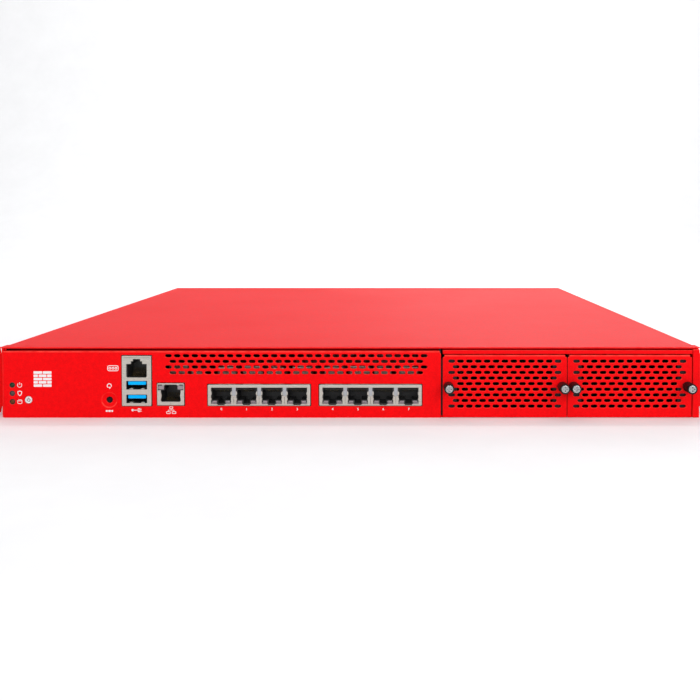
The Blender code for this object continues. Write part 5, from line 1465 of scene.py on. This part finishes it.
def build_rear_panel():
    """Back plate with its window, fan holes and tall vents, the fan guards and the screws."""
    across, along, up = span("rear_panel")
    bays = (span("power_case_1"), span("power_case_2"))
    window = (bays[0][0][0] - 0.3 * MM, bays[1][0][1] + 0.3 * MM)
    holes = [rounded(window, grown(bays[0][2], 0.3 * MM), 0.6 * MM)]
    fans = [middle(f"fan_frame_{number}") for number in (1, 2, 3)]
    holes += [ring(fan.x, fan.z, 18.7 * MM, 56) for fan in fans]
    height = (up[0] + up[1]) / 2 + 0.75 * MM
    holes += [obround((202.9 - 10.5 * number) * MM, height, 5.0 * MM, 24.0 * MM, 8) for number in range(15)]
    form = bmesh.new()
    add_plate(form, rounded(across, up, 1.0 * MM), holes, "Y", along[0], along[1] - along[0])
    made_piece("rear_sheet", form, "plated_sheet", "chassis", ["rear_panel"])
    form = bmesh.new()
    for fan in fans:
        add_guard(form, fan, along[1], (17.6 * MM, 12.6 * MM, 7.6 * MM), 22.6 * MM)
    made_piece("fan_guards", form, "turned_steel", "chassis", marked=False)
    form = bmesh.new()
    for fan in fans:
        for x in (-FAN_SCREW, FAN_SCREW):
            for z in (-FAN_SCREW, FAN_SCREW):
                add_screw_head(form, (fan.x + x, along[1] + 0.6 * MM, fan.z + z), "Y", 1, 2.5 * MM,
                               1.3 * MM)
    for x, z in REAR_SCREWS:
        add_screw_head(form, (x * MM, along[1], z * MM), "Y", 1, 2.3 * MM, 0.8 * MM)
    made_piece("rear_screws", form, "turned_steel", "chassis", marked=False)
    form = bmesh.new()
    stud = (48.6 * MM, 0.0, 22.0 * MM)
    nut = [(stud[0] + x, stud[2] + z) for x, z in ring(0.0, 0.0, 3.4 * MM, 6)]
    add_plate(form, nut, [], "Y", along[1] + 0.6 * MM, 2.4 * MM, 0.3 * MM)
    profile = [(0.0, 6.4), (1.5, 6.4), (1.9, 6.0), (1.9, 0.1), (3.9, 0.1), (3.9, 0.0), (0.0, 0.0)]
    turned = [(radius, along[1] / MM + rise) for radius, rise in profile]
    add_turned(form, scaled(turned), stud, steps=24)
    made_piece("ground_stud", form, "contact_gold", "chassis", angle=30.0, marked=False)


def add_module_sheets(form, across, along, up):
    """A power module's lid, floor, sides and front, with vents near its front."""
    sheet, edge = 0.8 * MM, 0.18 * MM
    back = along[1] - 1.25 * MM
    vents = []
    for row in range(6):
        for index in range(5):
            place = (across[0] + (11.2 + 8.0 * index) * MM, along[0] + (14 + 7 * row) * MM)
            vents.append(obround(*place, 5.2 * MM, 2.2 * MM))
    floor = rounded(across, (along[0], back), 0.4 * MM)
    add_plate(form, floor, vents, "Z", up[1] - sheet, sheet, edge)
    add_plate(form, floor, [], "Z", up[0], sheet, edge)
    height = grown(up, -sheet)
    side_vents = [obround(along[0] + (14 + 9 * index) * MM, up[0] + (12 + 8 * row) * MM, 5.6 * MM, 2.2 * MM)
                  for index in range(7) for row in range(3)]
    side = rounded((along[0] + sheet, back), height, 0.0)
    add_plate(form, side, side_vents, "X", across[0], sheet, edge)
    add_plate(form, side, side_vents, "X", across[1] - sheet, sheet, edge)
    centre = (across[0] + across[1]) / 2
    socket = rounded(about(centre, 36 * MM), (up[0] + 7.5 * MM, up[0] + 17.5 * MM), 0.8 * MM)
    add_plate(form, rounded(across, height, 0.0), [socket], "Y", along[0], sheet, edge)


def build_power_modules():
    """Two slide-in power modules: case, fan, guard, mains inlet, bail handle and latch."""
    for number in (1, 2):
        node = f"power_case_{number}"
        body = f"power_module_{number}"
        across, along, up = span(node)
        back = along[1]
        fan = Vector((across[0] + 17.1 * MM, 0.0, (up[0] + up[1]) / 2))
        inlet, latch = span(f"power_inlet_{number}"), span(f"power_latch_{number}")
        form = bmesh.new()
        add_module_sheets(form, across, along, up)
        holes = [ring(fan.x, fan.z, 14.6 * MM, 48),
                 rounded(grown(inlet[0], 0.1 * MM), grown(inlet[2], 0.1 * MM), 1.6 * MM)]
        holes.append(rounded((latch[0][0] - 3.2 * MM, latch[0][1] + 0.3 * MM), grown(latch[2], 0.3 * MM),
                             0.5 * MM))
        holes.append(ring(inlet[0][1] - 2.4 * MM, up[1] - 2.6 * MM, 1.1 * MM, 16))
        add_plate(form, rounded(grown(across, -0.05 * MM), grown(up, -0.05 * MM), 0.9 * MM), holes, "Y",
                  back - 1.2 * MM,
                  1.2 * MM, 0.25 * MM)
        made_piece(f"module_case_{number}", form, "plated_sheet", body, [node])
        form = bmesh.new()
        for low in (back - 4.4 * MM, back - 21.5 * MM):
            add_plate(form, rounded(about(fan.x, 32 * MM), about(fan.z, 36 * MM), 2.5 * MM),
                      [ring(fan.x, fan.z, 14.9 * MM, 48)],
                      "Y", low, 3.0 * MM, 0.25 * MM)
        profile = [(14.5 * MM, back - 21.6 * MM), (15.4 * MM, back - 21.6 * MM),
                   (15.4 * MM, back - 1.35 * MM),
                   (14.5 * MM, back - 1.35 * MM)]
        add_turned(form, profile, (fan.x, 0.0, fan.z), steps=48)
        for turn in (0, 90, 180, 270):
            out = spoke(turn)
            start = Vector((fan.x, back - 21.0 * MM, fan.z))
            add_rod(form, start, start + out * 14.8 * MM, 0.9 * MM, 8)
        made_piece(f"module_fan_housing_{number}", form, "fan_black", body)
        build_rotor(f"module_blades_{number}", f"power_rotor_{number}", f"power_rotor_{number}", fan.x,
                    8.0 * MM, 9.0 * MM)
        form = bmesh.new()
        add_guard(form, fan, back, (13.4 * MM, 9.4 * MM, 5.4 * MM), MODULE_FAN_SCREW)
        for turn in DIAGONALS:
            place = Vector((fan.x, back + 0.5 * MM, fan.z)) + spoke(turn) * MODULE_FAN_SCREW
            add_screw_head(form, place, "Y", 1, 1.9 * MM, 1.0 * MM)
        made_piece(f"module_guard_{number}", form, "turned_steel", body, marked=False)
        build_inlet(number, inlet, body)
        build_handle_and_latch(number, latch, body)


def build_inlet(number, inlet, body):
    """Mains inlet: a flange, a keyed well and three flat pins."""
    across, along, up = inlet
    centre = Vector(((across[0] + across[1]) / 2, 0.0, (up[0] + up[1]) / 2))
    form = bmesh.new()
    well = [(-7.4, -8.0), (-4.6, -11.0), (7.4, -11.0), (7.4, 11.0), (-4.6, 11.0), (-7.4, 8.0)]
    mouth = [(centre.x + x * MM, centre.z + z * MM) for x, z in well]
    add_plate(form, rounded(across, up, 1.5 * MM), [mouth], "Y", along[1] - 1.6 * MM, 1.6 * MM, 0.3 * MM)
    add_plate(form, rounded(grown(across, -0.6 * MM), grown(up, -0.6 * MM), 1.2 * MM), [mouth], "Y",
              along[0] + 1.4 * MM,
              along[1] - along[0] - 2.9 * MM, 0.2 * MM)
    add_box(form, (across[0] + 0.6 * MM, along[0], up[0] + 0.6 * MM),
            (across[1] - 0.6 * MM, along[0] + 1.6 * MM, up[1] - 0.6 * MM),
            0.3 * MM)
    made_piece(f"inlet_body_{number}", form, "fan_black", body, [f"power_inlet_{number}"])
    form = bmesh.new()
    wide, tall = 4.0, 2.0
    for x, z in ((-1.2, -7.0), (2.6, 0.0), (-1.2, 7.0)):
        place = (centre.x + x * MM, centre.z + z * MM)
        ends = (along[0] + 1.4 * MM, along[1] - 2.6 * MM)
        add_box(form, (place[0] - wide / 2 * MM, ends[0], place[1] - tall / 2 * MM),
                (place[0] + wide / 2 * MM, ends[1], place[1] + tall / 2 * MM), 0.5 * MM, 2)
    made_piece(f"inlet_pins_{number}", form, "satin_nickel", body, marked=False)


def build_handle_and_latch(number, latch, body):
    """Bail handle bent from round bar with collars, the ridged sliding latch and a light."""
    across, along, up = span(f"power_handle_{number}")
    radius = (up[1] - up[0]) / 2
    level = (up[0] + up[1]) / 2
    left, right = across[0] + radius, across[1] - radius
    out = along[1] - radius
    bend = 5.0 * MM
    path = [(left, along[0], level), (left, out - bend - 0.5 * MM, level)]
    path += [(x, y, level) for x, y in arc((left + bend, out - bend), bend, 180, 90, 8)]
    path += [(x, y, level) for x, y in arc((right - bend, out - bend), bend, 90, 0, 8)]
    path += [(right, out - bend - 0.5 * MM, level), (right, along[0], level)]
    form = bmesh.new()
    add_tube(form, path, radius, 16)
    for x in (left, right):
        profile = [(0.0, 0.0), (radius + 0.9 * MM, 0.0), (radius + 0.9 * MM, 0.9 * MM),
                   (radius + 0.4 * MM, 1.4 * MM), (0.0, 1.4 * MM)]
        add_turned(form, profile, (x, along[0] - 0.28 * MM, level), steps=24)
    made_piece(f"bail_handle_{number}", form, "turned_steel", body,
               [f"power_handle_{number}"], 40.0, marked=False)
    form = bmesh.new()
    add_box(form, (latch[0][0], latch[1][0], latch[2][0]),
            (latch[0][1], latch[1][1] - 0.02 * MM, latch[2][1] - 0.5 * MM), 0.6 * MM, 3)
    for ridge in range(5):
        place = latch[0][0] + (1.3 + 1.6 * ridge) * MM
        add_block(form, (place, latch[1][1], latch[2][1]), (-0.35, 0.35), (-6.4, -0.7), (-0.8, 0.0), 0.2)
    made_piece(f"ridged_latch_{number}", form, "moulded_green", f"power_latch_{number}",
               [f"power_latch_{number}"])
    case = span(f"power_case_{number}")
    inlet = span(f"power_inlet_{number}")
    form = bmesh.new()
    place = (inlet[0][1] - 2.4 * MM, case[1][1], case[2][1] - 2.6 * MM)
    add_turned(form, scaled([(0.0, 0.35), (0.6, 0.25), (0.95, -0.1), (1.0, -0.6), (1.0, -4.0),
                             (0.0, -4.0)]), place, steps=24)
    made_piece(f"module_light_{number}", form, "green_lens", body, angle=50.0, marked=False)


# ---------------------------------------------------------------- stage

# Name, place, the point it is aimed at, width, height and power
LAMPS = (
    ("key_light", (1.0, -1.6, 0.85), (0.0, -0.1, 0.0), 1.3, 0.9, 16.5),
    ("fill_light", (-0.35, -1.9, 0.8), (0.0, -0.1, 0.02), 1.1, 0.9, 8.5),
    ("top_light", (0.0, 0.1, 1.8), (0.0, 0.05, 0.0), 2.4, 1.8, 9.0),
    ("rear_light", (0.6, 1.5, 0.8), (0.0, 0.2, 0.0), 1.4, 0.9, 7.0),
    ("backdrop_light", (0.0, 0.9, 2.3), (0.0, 2.4, 0.9), 3.0, 0.6, 35.0),
)
SKY = (0.95, 0.96, 1.0, 1.0)
SKY_STRENGTH = 0.48
CAMERA_PLACE = (0.0247, -0.7985, 0.1264)
CAMERA_TILT = 1.9
CAMERA_LENS = 46.62
CAMERA_SHIFT = (-0.0564, -0.1484)


def build_stage():
    """Pale plain floor curving up into a backdrop, soft lights and the camera."""
    scene = bpy.context.scene
    level = min(SOLID_BOX[0][2], 0.0)
    form = bmesh.new()
    across, front, back, height, bend = 6.0, -7.0, 2.4, 2.6, 0.9
    profile = [(front, level)] + [(back - bend + y, level + bend + z)
                                  for y, z in arc((0.0, 0.0), bend, -90, 0, 24)]
    profile.append((back, level + height))
    points = [form.verts.new((-across, y, z)) for y, z in profile]
    edges = [form.edges.new((first, second)) for first, second in zip(points, points[1:])]
    made = bmesh.ops.extrude_edge_only(form, edges=edges)["geom"]
    bmesh.ops.translate(form, vec=(2 * across, 0, 0),
                        verts=[one for one in made if isinstance(one, bmesh.types.BMVert)])
    bmesh.ops.recalc_face_normals(form, faces=form.faces)
    if sum(face.normal.z for face in form.faces) < 0:
        bmesh.ops.reverse_faces(form, faces=form.faces)
    mesh = bpy.data.meshes.new("backdrop")
    form.to_mesh(mesh)
    form.free()
    mesh.shade_smooth()
    backdrop = bpy.data.objects.new("backdrop", mesh)
    scene.collection.objects.link(backdrop)
    mesh.materials.append(finish("backdrop_paint"))
    for name, place, target, width, height, power in LAMPS:
        lamp = bpy.data.lights.new(name, "AREA")
        lamp.shape = "RECTANGLE"
        lamp.size, lamp.size_y = width, height
        lamp.energy = power
        holder = bpy.data.objects.new(name, lamp)
        holder.location = place
        holder.rotation_euler = (Vector(target) - Vector(place)).to_track_quat("-Z", "Y").to_euler()
        scene.collection.objects.link(holder)
    world = bpy.data.worlds.new("studio")
    world.use_nodes = True
    background = world.node_tree.nodes["Background"]
    background.inputs["Color"].default_value = SKY
    background.inputs["Strength"].default_value = SKY_STRENGTH
    scene.world = world
    scene.view_settings.view_transform = "Standard"
    camera = bpy.data.cameras.new("camera")
    camera.lens = CAMERA_LENS
    camera.sensor_width = 36.0
    camera.shift_x, camera.shift_y = CAMERA_SHIFT
    camera.clip_start = 0.02
    camera.dof.use_dof = False
    holder = bpy.data.objects.new("camera", camera)
    holder.location = CAMERA_PLACE
    holder.rotation_euler = (math.radians(90.0 - CAMERA_TILT), 0.0, 0.0)
    scene.collection.objects.link(holder)
    scene.camera = holder


# ---------------------------------------------------------------- add-on


class BuildCover(bpy.types.Operator):
    """Lid with its wider front lip and the screws along its sides"""

    bl_idname = "appliance.cover"
    bl_label = "Top cover"

    def execute(self, context):
        build_cover()
        return {"FINISHED"}


class BuildTray(bpy.types.Operator):
    """Folded tray, front post, standoffs and the screws under it"""

    bl_idname = "appliance.tray"
    bl_label = "Chassis tray"

    def execute(self, context):
        build_tray()
        return {"FINISHED"}


class BuildFrontPanel(bpy.types.Operator):
    """Ported front panel with its vents and the rail over the bays"""

    bl_idname = "appliance.front_panel"
    bl_label = "Front panel and bay rail"

    def execute(self, context):
        build_front_panel()
        build_bay_rail()
        return {"FINISHED"}


class BuildFillerPanels(bpy.types.Operator):
    """Two vented filler panels with their thumb screws"""

    bl_idname = "appliance.filler_panels"
    bl_label = "Filler panels and thumb screws"

    def execute(self, context):
        build_filler_panels()
        build_thumb_screws()
        return {"FINISHED"}


class BuildRackEars(bpy.types.Operator):
    """Rack ears with their screws"""

    bl_idname = "appliance.rack_ears"
    bl_label = "Rack ears"

    def execute(self, context):
        build_rack_ears()
        return {"FINISHED"}


class BuildConsoleStack(bpy.types.Operator):
    """Console jack over two USB sockets"""

    bl_idname = "appliance.console_stack"
    bl_label = "Console and USB stack"

    def execute(self, context):
        build_console_stack()
        return {"FINISHED"}


class BuildManagementJack(bpy.types.Operator):
    """Single network jack with light pipes"""

    bl_idname = "appliance.management_jack"
    bl_label = "Management jack"

    def execute(self, context):
        build_management_jack()
        return {"FINISHED"}


class BuildPortBanks(bpy.types.Operator):
    """Two banks of four network jacks"""

    bl_idname = "appliance.port_banks"
    bl_label = "Port banks"

    def execute(self, context):
        build_port_banks()
        return {"FINISHED"}


class BuildLightsAndButtons(bpy.types.Operator):
    """Status lights, power button and reset button"""

    bl_idname = "appliance.lights_and_buttons"
    bl_label = "Lights and buttons"

    def execute(self, context):
        build_lights()
        build_buttons()
        return {"FINISHED"}


class BuildMarks(bpy.types.Operator):
    """Printed signs and port numbers on the front panel"""

    bl_idname = "appliance.marks"
    bl_label = "Printed marks"

    def execute(self, context):
        build_marks()
        return {"FINISHED"}


class BuildInside(bpy.types.Operator):
    """Finishes of the solid parts inside, and the small parts on the main board"""

    bl_idname = "appliance.inside"
    bl_label = "Boards and inside"

    def execute(self, context):
        build_inside()
        return {"FINISHED"}


class BuildFans(bpy.types.Operator):
    """Three case fans with their rotors"""

    bl_idname = "appliance.fans"
    bl_label = "Case fans"

    def execute(self, context):
        build_fans()
        return {"FINISHED"}


class BuildRearPanel(bpy.types.Operator):
    """Rear plate with vents, finger guards, screws and the ground stud"""

    bl_idname = "appliance.rear_panel"
    bl_label = "Rear panel"

    def execute(self, context):
        build_rear_panel()
        return {"FINISHED"}


class BuildPowerModules(bpy.types.Operator):
    """Two slide-in power modules"""

    bl_idname = "appliance.power_modules"
    bl_label = "Power modules"

    def execute(self, context):
        build_power_modules()
        return {"FINISHED"}


class BuildStage(bpy.types.Operator):
    """Pale floor, soft lights and camera"""

    bl_idname = "appliance.stage"
    bl_label = "Stage"

    def execute(self, context):
        build_stage()
        return {"FINISHED"}


OPERATORS = (
    BuildCover, BuildTray, BuildFrontPanel, BuildFillerPanels, BuildRackEars, BuildConsoleStack,
    BuildManagementJack,
    BuildPortBanks, BuildLightsAndButtons, BuildMarks, BuildInside, BuildFans, BuildRearPanel,
    BuildPowerModules, BuildStage,
)


class AppliancePanel(bpy.types.Panel):
    """The appliance's pieces, sizes and colours"""

    bl_idname = "VIEW3D_PT_appliance"
    bl_label = "Firewall appliance"
    bl_space_type = "VIEW_3D"
    bl_region_type = "UI"
    bl_category = "Appliance"

    def draw(self, context):
        column = self.layout.column(align=True)
        for kind in OPERATORS:
            column.operator(kind.bl_idname)
        for group in (context.scene.appliance_sizes, context.scene.appliance_colours):
            column.separator()
            for label in group.__annotations__:
                column.prop(group, label)


CLASSES = (ApplianceSizes, ApplianceColours, *OPERATORS, AppliancePanel)


def register():
    for kind in CLASSES:
        bpy.utils.register_class(kind)
    bpy.types.Scene.appliance_sizes = PointerProperty(type=ApplianceSizes)
    bpy.types.Scene.appliance_colours = PointerProperty(type=ApplianceColours)


def unregister():
    del bpy.types.Scene.appliance_colours
    del bpy.types.Scene.appliance_sizes
    for kind in reversed(CLASSES):
        bpy.utils.unregister_class(kind)


def main():
    register()
    bpy.ops.appliance.cover()
    bpy.ops.appliance.tray()
    bpy.ops.appliance.front_panel()
    bpy.ops.appliance.filler_panels()
    bpy.ops.appliance.rack_ears()
    bpy.ops.appliance.console_stack()
    bpy.ops.appliance.management_jack()
    bpy.ops.appliance.port_banks()
    bpy.ops.appliance.lights_and_buttons()
    bpy.ops.appliance.marks()
    bpy.ops.appliance.inside()
    bpy.ops.appliance.fans()
    bpy.ops.appliance.rear_panel()
    bpy.ops.appliance.power_modules()
    bpy.ops.appliance.stage()


if __name__ == "__main__":
    main()
